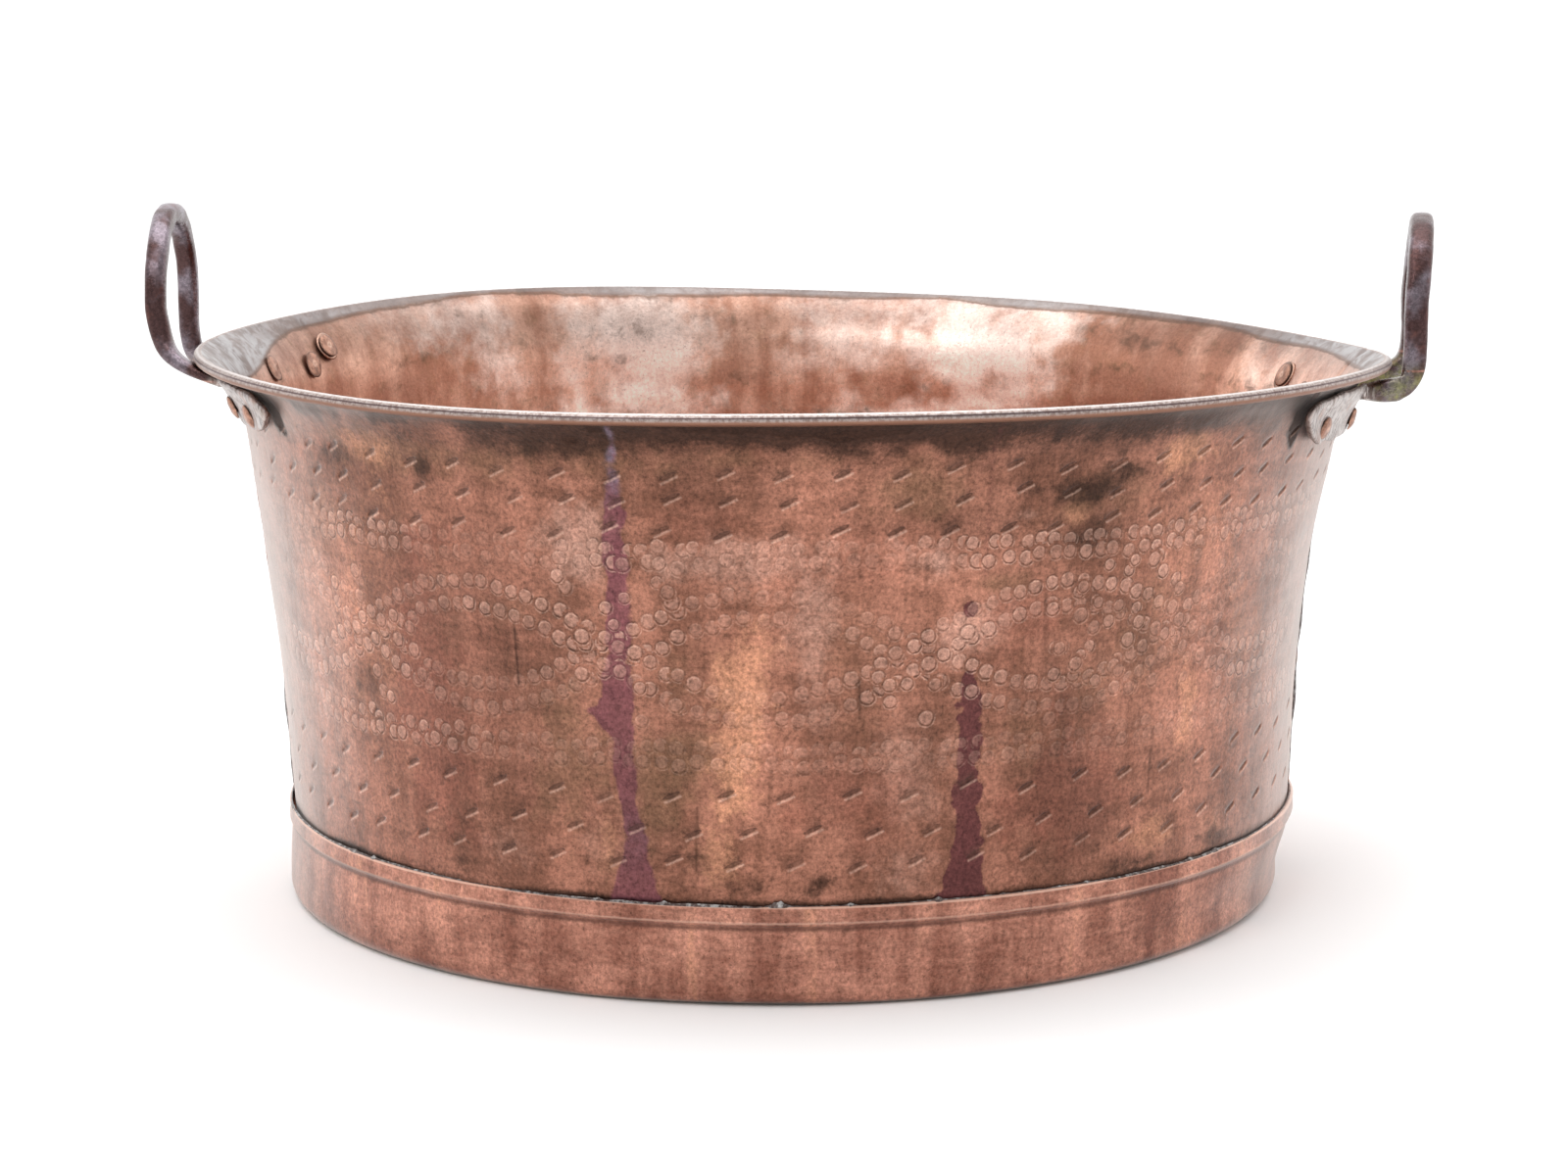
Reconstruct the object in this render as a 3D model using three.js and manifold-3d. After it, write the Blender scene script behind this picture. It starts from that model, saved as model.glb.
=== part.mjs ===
// Hammered copper bowl: a large riveted and brazed copper vat with two upright loop handles.
//
// The wall is two half sheets, lapped and brazed at the left and right. Its upper edge flares out
// and is rolled over a wire. Its lower edge stands in the stepped socket of a shallow base pan and
// is closed there with tin solder. Each handle is a forged bar whose two ends are spread into feet
// and riveted to the wall.
//
// Millimetres, +Z up. The origin is on the floor at the bowl's axis. +X runs from handle to handle.

import * as THREE from "three";
import { mergeVertices } from "three/addons/utils/BufferGeometryUtils.js";
import Module from "manifold-3d";

const wasm = await Module();
wasm.setup();

// Driving dimensions.
const RIM_RADIUS = 350; // outermost point of the rolled rim
const RIM_HEIGHT = 322; // top of the rolled rim
const BASE_RADIUS = 300.3; // outside of the base pan
const SHEET = 1.4; // wall sheet
const PAN_SHEET = 1.6; // base pan sheet
const GAP = 0.3; // clearance between neighbouring pieces
const CLEAR = 0.6; // clearance of rivet heads and feet on the curved wall
const SEGMENTS = 72; // facets in a full turn
const CURVE_STEPS = 14; // straight pieces in the wall's profile, up to the roll
const ROLL_STEPS = 6; // and in the roll

// Rolled rim.
const WIRE_RADIUS = 1.6;
const ROLL_RADIUS = WIRE_RADIUS + GAP + SHEET / 2; // from the wire's centre to the middle of the sheet
const ROLL_START = 30; // degrees above level at which the flare runs into the roll
const ROLL_TURN = 270; // degrees of wire the sheet wraps
const WIRE_AT = {
  r: RIM_RADIUS - ROLL_RADIUS - SHEET / 2,
  z: RIM_HEIGHT - ROLL_RADIUS - SHEET / 2,
};

// Base pan: a flat bottom, a rounded corner, a low upstand and the socket that holds the wall.
const CORNER_RADIUS = 8;
const LEDGE_HEIGHT = 47.2; // outer edge of the step that the wall stands on
const BAND_TOP = 56;
const BAND_SHEET = 1.8;
const WALL_FOOT = LEDGE_HEIGHT + 2 * GAP;

// Side seams: the back sheet laps over the outside of the front sheet.
const LAP = 3.5; // degrees of overlap
const LAP_FOOT = 60;
const LAP_TOP = 292;
const LAP_STEPS = 8; // facets up a seam
const LAP_STEP_OUT = { from: 0.15, to: 1.2 }; // degrees past the seam over which the lap steps out
const LAP_ROOT = 1.6; // degrees past the seam at which the lap is wholly inside the back sheet
const ROOT_SINK = 0.6; // share of the sheet by which the lap's root sinks in
const BUTT = 0.1; // degrees left between the two sheets' edges
const BRAZE = 1.3; // width of the braze fillet along the lap

// Solder on the socket band: heights above its foot where it leaves the band and meets the wall.
const SOLDER_GAP = 0.1; // clearance between the solder and the wall
const SOLDER_LOW = 1.3;
const SOLDER_HIGH = 2.4;
const SOLDER_TAPER = 0.6; // share of the band's thickness left at SOLDER_LOW

// Handles.
const LOOP_WIDTH = 104; // centre to centre of the loop's legs
const LOOP_BOTTOM = 350; // height at which the loop's arc starts
const LOOP_TOP = 398; // height of the bar's centre at the top
const BAR_CORNERS = 10; // points round the bar's section
const BAR_SQUARENESS = 0.62; // 1 makes the section round, and 0 makes it square
const ARC_STEPS = 8; // stations over the top of the loop
const SPREAD = 0.25; // how much the bar widens as it thins
const FOOT_THICKNESS = 4.6;
const FOOT_START = 5.5; // degrees from the handle's middle
const FOOT_LIFT = 5; // how far the foot's free end stands off the wall
const FOOT_SINK = 0.8; // share of the foot's thickness at which the bar's middle enters it
const FOOT_STEPS = 10;
const FOOT_ROUNDING = 6; // the higher, the squarer the foot's two ends
const FOOT_END_CUT = 0.9; // share of the squared height lost at the foot's two ends

// Rivets.
const SHANK_RADIUS = 3.8;
const INNER_HEAD_RADIUS = 7.6;
const OUTER_HEAD_RADIUS = 6.4;
const HEAD_HEIGHT = 2.2;
const DOME_SHOULDER = { radius: 0.75, height: 0.7 }; // shares at which a head's dome bends
const ROVE_RADIUS = 9.6;
const ROVE_THICKNESS = 1.1;
const RIVET_FACETS = 10;
const BORE_RADIUS = SHANK_RADIUS + GAP + 0.1;
const DRILL_EXTRA = 20; // how much longer the drill is than the rivet

const COPPER = { color: 0xa8674f, roughness: 0.42, metalness: 0.9 };
const HANDLE_METAL = { color: 0x6b4f49, roughness: 0.45, metalness: 0.85 };
const RIVET_METAL = { color: 0x9a6250, roughness: 0.45, metalness: 0.9 };
const SOLDER = { color: 0x8f8c88, roughness: 0.5, metalness: 0.8 };

const rad = THREE.MathUtils.degToRad;
const smooth = (x, low, high) => THREE.MathUtils.smoothstep(x, low, high);

// A point from its radius, its angle about the bowl's axis in degrees, and its height.
function roundPoint(r, degrees, z) {
  return new THREE.Vector3(r * Math.cos(rad(degrees)), r * Math.sin(rad(degrees)), z);
}

// ---- closed solids ----

// Six times the volume that triangles enclose, negative if they face inwards.
function enclosed(points, triangles) {
  let sum = 0;
  for (let i = 0; i < triangles.length; i += 3) {
    const [a, b, c] = [0, 1, 2].map((k) => points[triangles[i + k]]);
    sum += a.dot(b.clone().cross(c));
  }
  return sum;
}

function geometryOf(points, triangles) {
  const facing = enclosed(points, triangles) < 0 ? triangles.toReversed() : triangles;
  return new THREE.BufferGeometry().setFromPoints(points).setIndex(facing);
}

// A closed solid through rings of points, all with the same number of points in the same order.
// capOutline is the rings' outline in a plane, from which the two end caps are cut.
function loft(rings, capOutline) {
  const n = rings[0].length;
  const triangles = [];
  for (let i = 0; i + 1 < rings.length; i++) {
    for (let k = 0; k < n; k++) {
      const a = i * n + k;
      const b = i * n + ((k + 1) % n);
      triangles.push(a, b, b + n, a, b + n, a + n);
    }
  }
  const last = (rings.length - 1) * n;
  for (const face of THREE.ShapeUtils.triangulateShape(capOutline, [])) {
    const [a, b, c] = THREE.ShapeUtils.isClockWise(capOutline) ? face.toReversed() : face;
    triangles.push(a, c, b, last + c, last + a, last + b);
  }
  return geometryOf(rings.flat(), triangles);
}

// An outline of {x: radius, y: height} points turned from one angle to another, in degrees.
// outlineAt gives the outline at each angle, always with the same number of points.
function turned(outlineAt, from, to, steps) {
  const rings = [];
  for (let i = 0; i <= steps; i++) {
    const degrees = from + ((to - from) * i) / steps;
    rings.push(outlineAt(degrees).map((p) => roundPoint(p.x, degrees, p.y)));
  }
  return loft(rings, outlineAt(from));
}

// An outline turned a full turn about Z.
function ring(outline) {
  const closed = [...outline, outline[0]];
  return new THREE.LatheGeometry(closed, SEGMENTS).rotateX(Math.PI / 2);
}

function solidOf(geometry) {
  const bare = geometry.clone();
  bare.deleteAttribute("normal");
  bare.deleteAttribute("uv");
  const merged = mergeVertices(bare, 1e-3);
  return new wasm.Manifold(
    new wasm.Mesh({
      numProp: 3,
      vertProperties: merged.attributes.position.array,
      triVerts: new Uint32Array(merged.index.array),
    }),
  );
}

function geometryFrom(solid) {
  const mesh = solid.getMesh();
  const geometry = new THREE.BufferGeometry();
  geometry.setAttribute("position", new THREE.BufferAttribute(mesh.vertProperties, 3));
  geometry.setIndex(new THREE.BufferAttribute(mesh.triVerts, 1));
  return geometry;
}

const group = new THREE.Group();

function add(name, geometry, look) {
  const mesh = new THREE.Mesh(geometry, new THREE.MeshStandardMaterial(look));
  mesh.name = name;
  group.add(mesh);
  return mesh;
}

// ---- wall profile ----

// The middle of the wall sheet, from its foot to where it runs into the roll.
const rollAngle = rad(90 + ROLL_START);
const rollEntry = new THREE.Vector2(
  WIRE_AT.r + ROLL_RADIUS * Math.cos(rollAngle),
  WIRE_AT.z + ROLL_RADIUS * Math.sin(rollAngle),
);
const wallCurve = new THREE.SplineCurve([
  new THREE.Vector2(299.2, WALL_FOOT),
  new THREE.Vector2(299.4, 62),
  new THREE.Vector2(304.7, 148),
  new THREE.Vector2(314.4, 236),
  new THREE.Vector2(319.4, 278),
  new THREE.Vector2(324.2, 296),
  new THREE.Vector2(333.5, 310.5),
  rollEntry,
]);

// Radius of the middle of the wall sheet at a height, and the sheet's outward normal there.
function wallAt(height) {
  let low = 0;
  let high = 1;
  for (let i = 0; i < 30; i++) {
    const middle = (low + high) / 2;
    if (wallCurve.getPoint(middle).y < height) low = middle;
    else high = middle;
  }
  const tangent = wallCurve.getTangent(low);
  return { r: wallCurve.getPoint(low).x, normal: new THREE.Vector2(tangent.y, -tangent.x) };
}

// The line offset to one side of a path of points, by distance.
function offsetPath(path, distance) {
  return path.map((p, i) => {
    const before = path[Math.max(i - 1, 0)];
    const after = path[Math.min(i + 1, path.length - 1)];
    const along = after.clone().sub(before).normalize();
    return new THREE.Vector2(p.x + distance * along.y, p.y - distance * along.x);
  });
}

// A sheet of the given thickness along a path: its outer face going up, its inner face coming down.
function sheetOutline(path, thickness) {
  return [...offsetPath(path, thickness / 2), ...offsetPath(path, -thickness / 2).reverse()];
}

function wallPath() {
  const path = wallCurve.getPoints(CURVE_STEPS);
  for (let i = 1; i <= ROLL_STEPS; i++) {
    const angle = rollAngle - rad((ROLL_TURN * i) / ROLL_STEPS);
    path.push(
      new THREE.Vector2(
        WIRE_AT.r + ROLL_RADIUS * Math.cos(angle),
        WIRE_AT.z + ROLL_RADIUS * Math.sin(angle),
      ),
    );
  }
  return path;
}

const wallOutline = sheetOutline(wallPath(), SHEET);

function halfSheet(from) {
  return turned(() => wallOutline, from + BUTT, from + 180 - BUTT, SEGMENTS / 2);
}

// ---- side seams ----

const LAP_OUT = SHEET + GAP; // how far the lap stands outside the front sheet

// The lap of the back sheet at one seam. side is 1 where the back sheet starts (right) and -1 where
// it ends (left). The lap steps out over the front sheet, and its root sinks into the back sheet.
function seamLap(side) {
  const seam = side > 0 ? 0 : 180;
  const path = [];
  for (let i = 0; i <= LAP_STEPS; i++) {
    const height = LAP_FOOT + ((LAP_TOP - LAP_FOOT) * i) / LAP_STEPS;
    path.push(new THREE.Vector2(wallAt(height).r, height));
  }
  const outlineAt = (degrees) => {
    const root = smooth(side * (degrees - seam), LAP_STEP_OUT.from, LAP_STEP_OUT.to);
    const inner = offsetPath(path, LAP_OUT - SHEET / 2 - root * (GAP + SHEET / 2));
    const outer = offsetPath(path, LAP_OUT + SHEET / 2 - root * SHEET * ROOT_SINK);
    return [...outer, ...inner.reverse()];
  };
  const free = seam - side * LAP;
  const rooted = seam + side * LAP_ROOT;
  return turned(outlineAt, Math.min(free, rooted), Math.max(free, rooted), LAP_STEPS);
}

// The fillet of braze in the corner between the lap's free edge and the front sheet.
function seamBraze(side) {
  const seam = side > 0 ? 0 : 180;
  const edge = seam - side * LAP;
  const rings = [];
  for (let i = 0; i <= LAP_STEPS; i++) {
    const height = LAP_FOOT + ((LAP_TOP - LAP_FOOT) * i) / LAP_STEPS;
    const surface = wallAt(height).r + SHEET / 2 + GAP;
    const degreesPerMm = 360 / (2 * Math.PI * surface);
    const near = edge - side * GAP * degreesPerMm;
    const far = near - side * BRAZE * degreesPerMm;
    rings.push([
      roundPoint(surface, far, height),
      roundPoint(surface, near, height),
      roundPoint(surface + BRAZE, near, height),
    ]);
  }
  const cap = [new THREE.Vector2(0, 0), new THREE.Vector2(1, 0), new THREE.Vector2(1, 1)];
  return loft(rings, cap);
}

// ---- base ----

function basePan() {
  const inside = BASE_RADIUS - PAN_SHEET;
  const socket = BASE_RADIUS + GAP;
  const corner = new THREE.Vector2(BASE_RADIUS - CORNER_RADIUS, CORNER_RADIUS);
  const edge = new THREE.Shape();
  edge.moveTo(0, 0);
  edge.lineTo(BASE_RADIUS - CORNER_RADIUS, 0);
  edge.absarc(corner.x, corner.y, CORNER_RADIUS, -Math.PI / 2, 0, false);
  edge.lineTo(BASE_RADIUS, LEDGE_HEIGHT - 2 * PAN_SHEET);
  edge.lineTo(socket + BAND_SHEET, LEDGE_HEIGHT - PAN_SHEET / 2);
  edge.lineTo(socket + BAND_SHEET, BAND_TOP);
  edge.lineTo(socket, BAND_TOP);
  edge.lineTo(socket, LEDGE_HEIGHT);
  edge.lineTo(inside, LEDGE_HEIGHT - PAN_SHEET);
  edge.lineTo(inside, CORNER_RADIUS);
  edge.absarc(corner.x, corner.y, CORNER_RADIUS - PAN_SHEET, 0, -Math.PI / 2, true);
  edge.lineTo(0, PAN_SHEET);
  return new THREE.LatheGeometry(edge.getPoints(2), SEGMENTS).rotateX(Math.PI / 2);
}

// The tin solder on top of the band, run up against the wall.
function baseSolder() {
  const wall = BASE_RADIUS + GAP;
  const foot = BAND_TOP + GAP;
  return ring([
    new THREE.Vector2(wall + SOLDER_GAP, foot),
    new THREE.Vector2(wall + BAND_SHEET, foot),
    new THREE.Vector2(wall + BAND_SHEET * SOLDER_TAPER, foot + SOLDER_LOW),
    new THREE.Vector2(wall + SOLDER_GAP, foot + SOLDER_HIGH),
  ]);
}

function rimWire() {
  const outline = [];
  const points = 6;
  for (let i = 0; i < points; i++) {
    const angle = (2 * Math.PI * i) / points;
    outline.push(
      new THREE.Vector2(
        WIRE_AT.r + WIRE_RADIUS * Math.cos(angle),
        WIRE_AT.z + WIRE_RADIUS * Math.sin(angle),
      ),
    );
  }
  return ring(outline);
}

// ---- handles ----

// How a leg runs from the loop down to its foot. Each row is
// [share of the way in to the wall, sideways from the handle's middle, height, share of the bar's
// thickness].
const SHARP_BEND = [
  [0.03, 53, 323, 1],
  [0.12, 54, 309, 1],
  [0.42, 57, 304, 1],
  [0.74, 60, 303, 0.9],
  [1, 62, 302, 0.5],
];
const STRAIGHT_BEND = [
  [0, 52, 323, 1],
  [0.12, 52, 309, 1],
  [0.42, 52.5, 303, 0.95],
  [0.74, 53, 302, 0.75],
  [1, 53, 301, 0.45],
];
const GENTLE_BEND = [
  [0.07, 53, 338, 1],
  [0.24, 55, 325, 0.9],
  [0.44, 59, 317, 0.73],
  [0.68, 63, 311, 0.62],
  [1, 66, 304, 0.45],
];

// Feet: height of their middle and their whole height.
const LOW_FOOT = { footMiddle: 292, footHeight: 36 };
const SHORT_FOOT = { footMiddle: 295, footHeight: 31 };
const HIGH_FOOT = { footMiddle: 299, footHeight: 26 };

// bar: thickness; plane: distance of the loop's top from the bowl's axis; lean: how much nearer
// its legs are; twist: how much farther out the back leg is than the front leg. A foot ends at the
// given angle from the handle's middle, and a rivet is [angle from the handle's middle, height].
const HANDLES = {
  right: {
    middle: 0,
    bar: 14,
    plane: 376.5,
    lean: 3.2,
    twist: 16,
    front: {
      ...SHORT_FOOT,
      bend: SHARP_BEND,
      end: 31,
      rivets: { inner: [12, 289], outer: [25.5, 291] },
    },
    back: {
      ...LOW_FOOT,
      bend: STRAIGHT_BEND,
      end: 27.5,
      rivets: { inner: [12.3, 290], outer: [18, 298] },
    },
  },
  left: {
    middle: 180,
    bar: 12.3,
    plane: 366,
    lean: 0,
    twist: -2,
    front: {
      ...HIGH_FOOT,
      bend: GENTLE_BEND,
      end: 30.5,
      rivets: { inner: [17, 296.5], outer: [24, 296] },
    },
    back: {
      ...LOW_FOOT,
      bend: STRAIGHT_BEND,
      end: 31,
      rivets: { inner: [12.3, 297], outer: [22, 293], upper: [26, 301] },
    },
  },
};
const ROVES = ["left_back_upper", "right_back_outer"]; // rivets that close over a rove inside

// Direction along the wall, away from the handle's middle, in which a foot runs: the front is -Y.
function footSense(handle, end) {
  const front = end === "front";
  return (handle.middle === 0) === front ? -1 : 1;
}

// A point of a handle: out from the bowl's axis, sideways towards one end, and height.
function handlePoint(handle, sense, out, sideways, height) {
  const across = handle.middle === 0 ? sense * sideways : -sense * sideways;
  return new THREE.Vector3(handle.middle === 0 ? out : -out, across, height);
}

// The bar's centre line from the front foot over the loop to the back foot, with its thickness.
function barStations(handle) {
  const half = LOOP_WIDTH / 2;
  const stations = [];
  const legOut = (end) => handle.plane - handle.lean + (end === "front" ? -0.5 : 0.5) * handle.twist;
  const addLeg = (end, order) => {
    const sense = footSense(handle, end);
    const rows = handle[end].bend.map(([share, sideways, height, thinning]) => {
      const footRadius = wallAt(height).r + SHEET / 2 + CLEAR + FOOT_SINK * FOOT_THICKNESS;
      const footOut = Math.sqrt(footRadius ** 2 - sideways ** 2);
      const out = THREE.MathUtils.lerp(legOut(end), footOut, share);
      const thickness = thinning * handle.bar;
      return { at: handlePoint(handle, sense, out, sideways, height), thickness };
    });
    stations.push(...(order < 0 ? rows.reverse() : rows));
  };
  addLeg("front", -1);
  for (let i = 0; i <= ARC_STEPS; i++) {
    const angle = (Math.PI * i) / ARC_STEPS;
    const sideways = half * Math.cos(angle);
    const height = LOOP_BOTTOM + (LOOP_TOP - LOOP_BOTTOM) * Math.sin(angle);
    const out =
      handle.plane - handle.lean * (1 - Math.sin(angle)) - 0.5 * handle.twist * Math.cos(angle);
    const sense = footSense(handle, "front");
    stations.push({ at: handlePoint(handle, sense, out, sideways, height), thickness: handle.bar });
  }
  addLeg("back", 1);
  return stations;
}

// A square section with rounded corners, as unit offsets from its middle.
function roundedSquare(points) {
  const outline = [];
  for (let i = 0; i < points; i++) {
    const angle = (2 * Math.PI * (i + 0.5)) / points;
    const squash = (v) => Math.sign(v) * Math.abs(v) ** BAR_SQUARENESS;
    outline.push(new THREE.Vector2(squash(Math.cos(angle)), squash(Math.sin(angle))));
  }
  return outline;
}

function handleBar(handle) {
  const stations = barStations(handle);
  const curve = new THREE.CatmullRomCurve3(stations.map((s) => s.at), false, "centripetal");
  const thickness = new THREE.SplineCurve(
    stations.map((s, i) => new THREE.Vector2(i, s.thickness)),
  );
  const section = roundedSquare(BAR_CORNERS);
  const steps = 2 * (stations.length - 1);
  const rings = [];
  for (let i = 0; i <= steps; i++) {
    const at = curve.getPoint(i / steps);
    const along = curve.getTangent(i / steps);
    const sideways = new THREE.Vector3(0, at.y, Math.max(at.z - LOOP_BOTTOM, 0));
    sideways.addScaledVector(along, -sideways.dot(along)).normalize();
    const across = along.clone().cross(sideways);
    const thick = thickness.getPoint(i / steps).y / 2;
    const wide = handle.bar / 2 + SPREAD * (handle.bar / 2 - thick);
    rings.push(
      section.map((p) =>
        at.clone().addScaledVector(sideways, p.x * wide).addScaledVector(across, p.y * thick),
      ),
    );
  }
  return loft(rings, section);
}

// The broad foot: a plate that follows the wall, rounded at both ends, its free end standing off.
function handleFoot(handle, end) {
  const sense = footSense(handle, end);
  const { end: last, footMiddle, footHeight } = handle[end];
  const outermostRivet = Math.max(...Object.values(handle[end].rivets).map(([a]) => a));
  const section = roundedSquare(BAR_CORNERS);
  const rings = [];
  for (let i = 0; i <= FOOT_STEPS; i++) {
    const share = i / FOOT_STEPS;
    const degrees = FOOT_START + (last - FOOT_START) * share;
    const roundEnd = Math.sqrt(1 - Math.abs(2 * share - 1) ** FOOT_ROUNDING * FOOT_END_CUT);
    const half = (footHeight / 2) * roundEnd;
    const lift = FOOT_LIFT * smooth(degrees, outermostRivet, last + 1);
    const outline = section.map((p) => {
      const height = footMiddle + p.x * half;
      const wall = wallAt(height);
      const bulge = (FOOT_THICKNESS / 2) * (1 + p.y);
      return new THREE.Vector2(wall.r, height).addScaledVector(
        wall.normal,
        SHEET / 2 + CLEAR + lift + bulge,
      );
    });
    const angle = handle.middle + sense * degrees;
    rings.push(outline.map((p) => roundPoint(p.x, angle, p.y)));
  }
  return loft(rings, section);
}

// ---- rivets ----

// Where a rivet sits: a point on the middle of the wall sheet and the wall's outward normal.
function rivetSeat(handle, end, [degrees, height]) {
  const angle = handle.middle + footSense(handle, end) * degrees;
  const wall = wallAt(height);
  return {
    at: roundPoint(wall.r, angle, height),
    outward: roundPoint(wall.normal.x, angle, wall.normal.y),
  };
}

const INSIDE = -(SHEET / 2 + CLEAR); // where an inner head starts, along the rivet
const OUTSIDE = SHEET / 2 + FOOT_THICKNESS + 3 * CLEAR; // where its outer head starts

function seatOn(geometry, seat) {
  const turn = new THREE.Quaternion().setFromUnitVectors(new THREE.Vector3(0, 1, 0), seat.outward);
  return geometry.applyQuaternion(turn).translate(...seat.at);
}

// A shank between two domed heads. The inner head leaves room for a rove where there is one.
function rivet(seat, hasRove) {
  const inner = INSIDE - (hasRove ? ROVE_THICKNESS + CLEAR : 0);
  const dome = (radius, base, sense) => [
    new THREE.Vector2(radius, base),
    new THREE.Vector2(
      radius * DOME_SHOULDER.radius,
      base + sense * HEAD_HEIGHT * DOME_SHOULDER.height,
    ),
    new THREE.Vector2(0, base + sense * HEAD_HEIGHT),
  ];
  const outline = [
    ...dome(INNER_HEAD_RADIUS, inner, -1).reverse(),
    new THREE.Vector2(SHANK_RADIUS, inner),
    new THREE.Vector2(SHANK_RADIUS, OUTSIDE),
    ...dome(OUTER_HEAD_RADIUS, OUTSIDE, 1),
  ];
  return seatOn(new THREE.LatheGeometry(outline, RIVET_FACETS), seat);
}

function rove(seat) {
  const top = INSIDE;
  const bottom = top - ROVE_THICKNESS;
  const bore = SHANK_RADIUS + GAP;
  const outline = [
    new THREE.Vector2(bore, bottom),
    new THREE.Vector2(ROVE_RADIUS, bottom),
    new THREE.Vector2(ROVE_RADIUS, top),
    new THREE.Vector2(bore, top),
    new THREE.Vector2(bore, bottom),
  ];
  return seatOn(new THREE.LatheGeometry(outline, RIVET_FACETS), seat);
}

// The tool that drills a rivet's hole through the wall and the foot.
function drill(seat) {
  const length = OUTSIDE - INSIDE + DRILL_EXTRA;
  const bit = new THREE.CylinderGeometry(BORE_RADIUS, BORE_RADIUS, length, RIVET_FACETS);
  return solidOf(seatOn(bit, seat));
}

// ---- assembly ----

const walls = {
  front: solidOf(halfSheet(180)),
  back: solidOf(halfSheet(0)).add(solidOf(seamLap(1))).add(solidOf(seamLap(-1))),
};

for (const [side, handle] of Object.entries(HANDLES)) {
  let bar = solidOf(handleBar(handle));
  for (const end of ["front", "back"]) {
    bar = bar.add(solidOf(handleFoot(handle, end)));
    for (const [place, spot] of Object.entries(handle[end].rivets)) {
      const seat = rivetSeat(handle, end, spot);
      const name = `${side}_${end}_${place}`;
      const hasRove = ROVES.includes(name);
      bar = bar.subtract(drill(seat));
      walls[end] = walls[end].subtract(drill(seat));
      add(`rivet_${name}`, rivet(seat, hasRove), RIVET_METAL);
      if (hasRove) add(`rove_${name}`, rove(seat), RIVET_METAL);
    }
  }
  add(`handle_${side}`, geometryFrom(bar), HANDLE_METAL);
}

add("wall_front", geometryFrom(walls.front), COPPER);
add("wall_back", geometryFrom(walls.back), COPPER);
add("seam_braze_right", seamBraze(1), SOLDER);
add("seam_braze_left", seamBraze(-1), SOLDER);
add("rim_wire", rimWire(), COPPER);
add("base_pan", basePan(), COPPER);
add("base_solder", baseSolder(), SOLDER);

export default group;
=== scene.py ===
"""Looks of the hammered copper bowl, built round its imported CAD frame.

The wall sheets, base pan, handles, rivets, solder, braze and rim wire are rebuilt as fine meshes on the
CAD's own shapes, with the dents, punched ornament and worn rim of a hand-hammered vat, and each gets a
procedural material. Shapes are worked out in millimetres and become metres when a mesh is made.
Angles are in degrees about the bowl's axis: 0 is +X, and -90 faces the camera.
"""

import math

import bpy
import numpy as np
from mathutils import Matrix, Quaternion, Vector, noise


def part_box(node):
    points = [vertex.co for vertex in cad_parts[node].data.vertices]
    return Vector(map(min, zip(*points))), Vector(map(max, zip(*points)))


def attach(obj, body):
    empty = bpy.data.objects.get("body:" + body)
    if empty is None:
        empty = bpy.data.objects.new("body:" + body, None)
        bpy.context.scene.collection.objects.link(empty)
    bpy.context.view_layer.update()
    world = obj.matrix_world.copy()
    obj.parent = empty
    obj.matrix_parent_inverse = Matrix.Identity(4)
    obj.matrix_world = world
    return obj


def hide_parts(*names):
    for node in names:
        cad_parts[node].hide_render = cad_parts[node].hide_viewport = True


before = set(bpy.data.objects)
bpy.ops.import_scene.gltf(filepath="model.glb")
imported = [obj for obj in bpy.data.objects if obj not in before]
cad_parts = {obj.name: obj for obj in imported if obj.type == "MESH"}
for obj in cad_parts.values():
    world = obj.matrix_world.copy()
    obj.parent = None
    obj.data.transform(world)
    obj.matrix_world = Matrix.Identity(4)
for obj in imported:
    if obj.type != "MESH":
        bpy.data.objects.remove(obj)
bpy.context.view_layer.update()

MM = 0.001
FRONT = -90


def box_mm(node):
    low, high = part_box(node)
    return np.array(low) / MM, np.array(high) / MM


# ---- sizes in millimetres; the CAD's boxes give the overall ones ----

RIM_RADIUS = box_mm("wall_front")[1][0]
RIM_HEIGHT = box_mm("wall_front")[1][2]
WALL_FOOT = box_mm("wall_front")[0][2]
BAND_RADIUS = box_mm("base_pan")[1][0]
BAND_TOP = box_mm("base_pan")[1][2]
WIRE_RADIUS = 1.6
SHEET = 1.4
PAN_SHEET = 1.6
BAND_SHEET = 1.8
GAP = 0.3
BASE_RADIUS = BAND_RADIUS - BAND_SHEET - GAP
ROLL_RADIUS = WIRE_RADIUS + GAP + SHEET / 2
ROLL_START = 120
ROLL_TURN = 270
WIRE_R = RIM_RADIUS - ROLL_RADIUS - SHEET / 2
WIRE_Z = RIM_HEIGHT - ROLL_RADIUS - SHEET / 2
LEDGE_HEIGHT = WALL_FOOT - 2 * GAP
CORNER_RADIUS = 8

# Middle of the wall sheet, (radius, height), from its foot to the start of the flare.
WALL_POINTS = (
    (BASE_RADIUS - 1.1, WALL_FOOT), (BASE_RADIUS - 0.9, 62), (304.7, 148), (314.4, 236),
    (319.4, 278), (324.2, 296), (333.5, 310.5),
)

# The wall's grid: columns go all the way round, rows go up the wall.
COLUMNS = 1500
ROWS = 220
ROLL_ROWS = 24
LAP_COLUMNS = 15  # how far each sheet runs past the seam
LAP_OUT = SHEET + 0.15
DEGREES = 360 / COLUMNS
MEAN_RADIUS = 311
CELL = math.radians(DEGREES) * MEAN_RADIUS  # mean width of a cell


# ---- small helpers ----


def smoothstep(low, high, x):
    t = np.clip((np.asarray(x, float) - low) / (high - low), 0, 1)
    return t * t * (3 - 2 * t)


def bell(distance, width):
    return np.exp(-((distance / width) ** 2))


def turn_between(a, b):
    """Signed difference of two angles in degrees, -180 to 180."""
    return (a - b + 180) % 360 - 180


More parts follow.
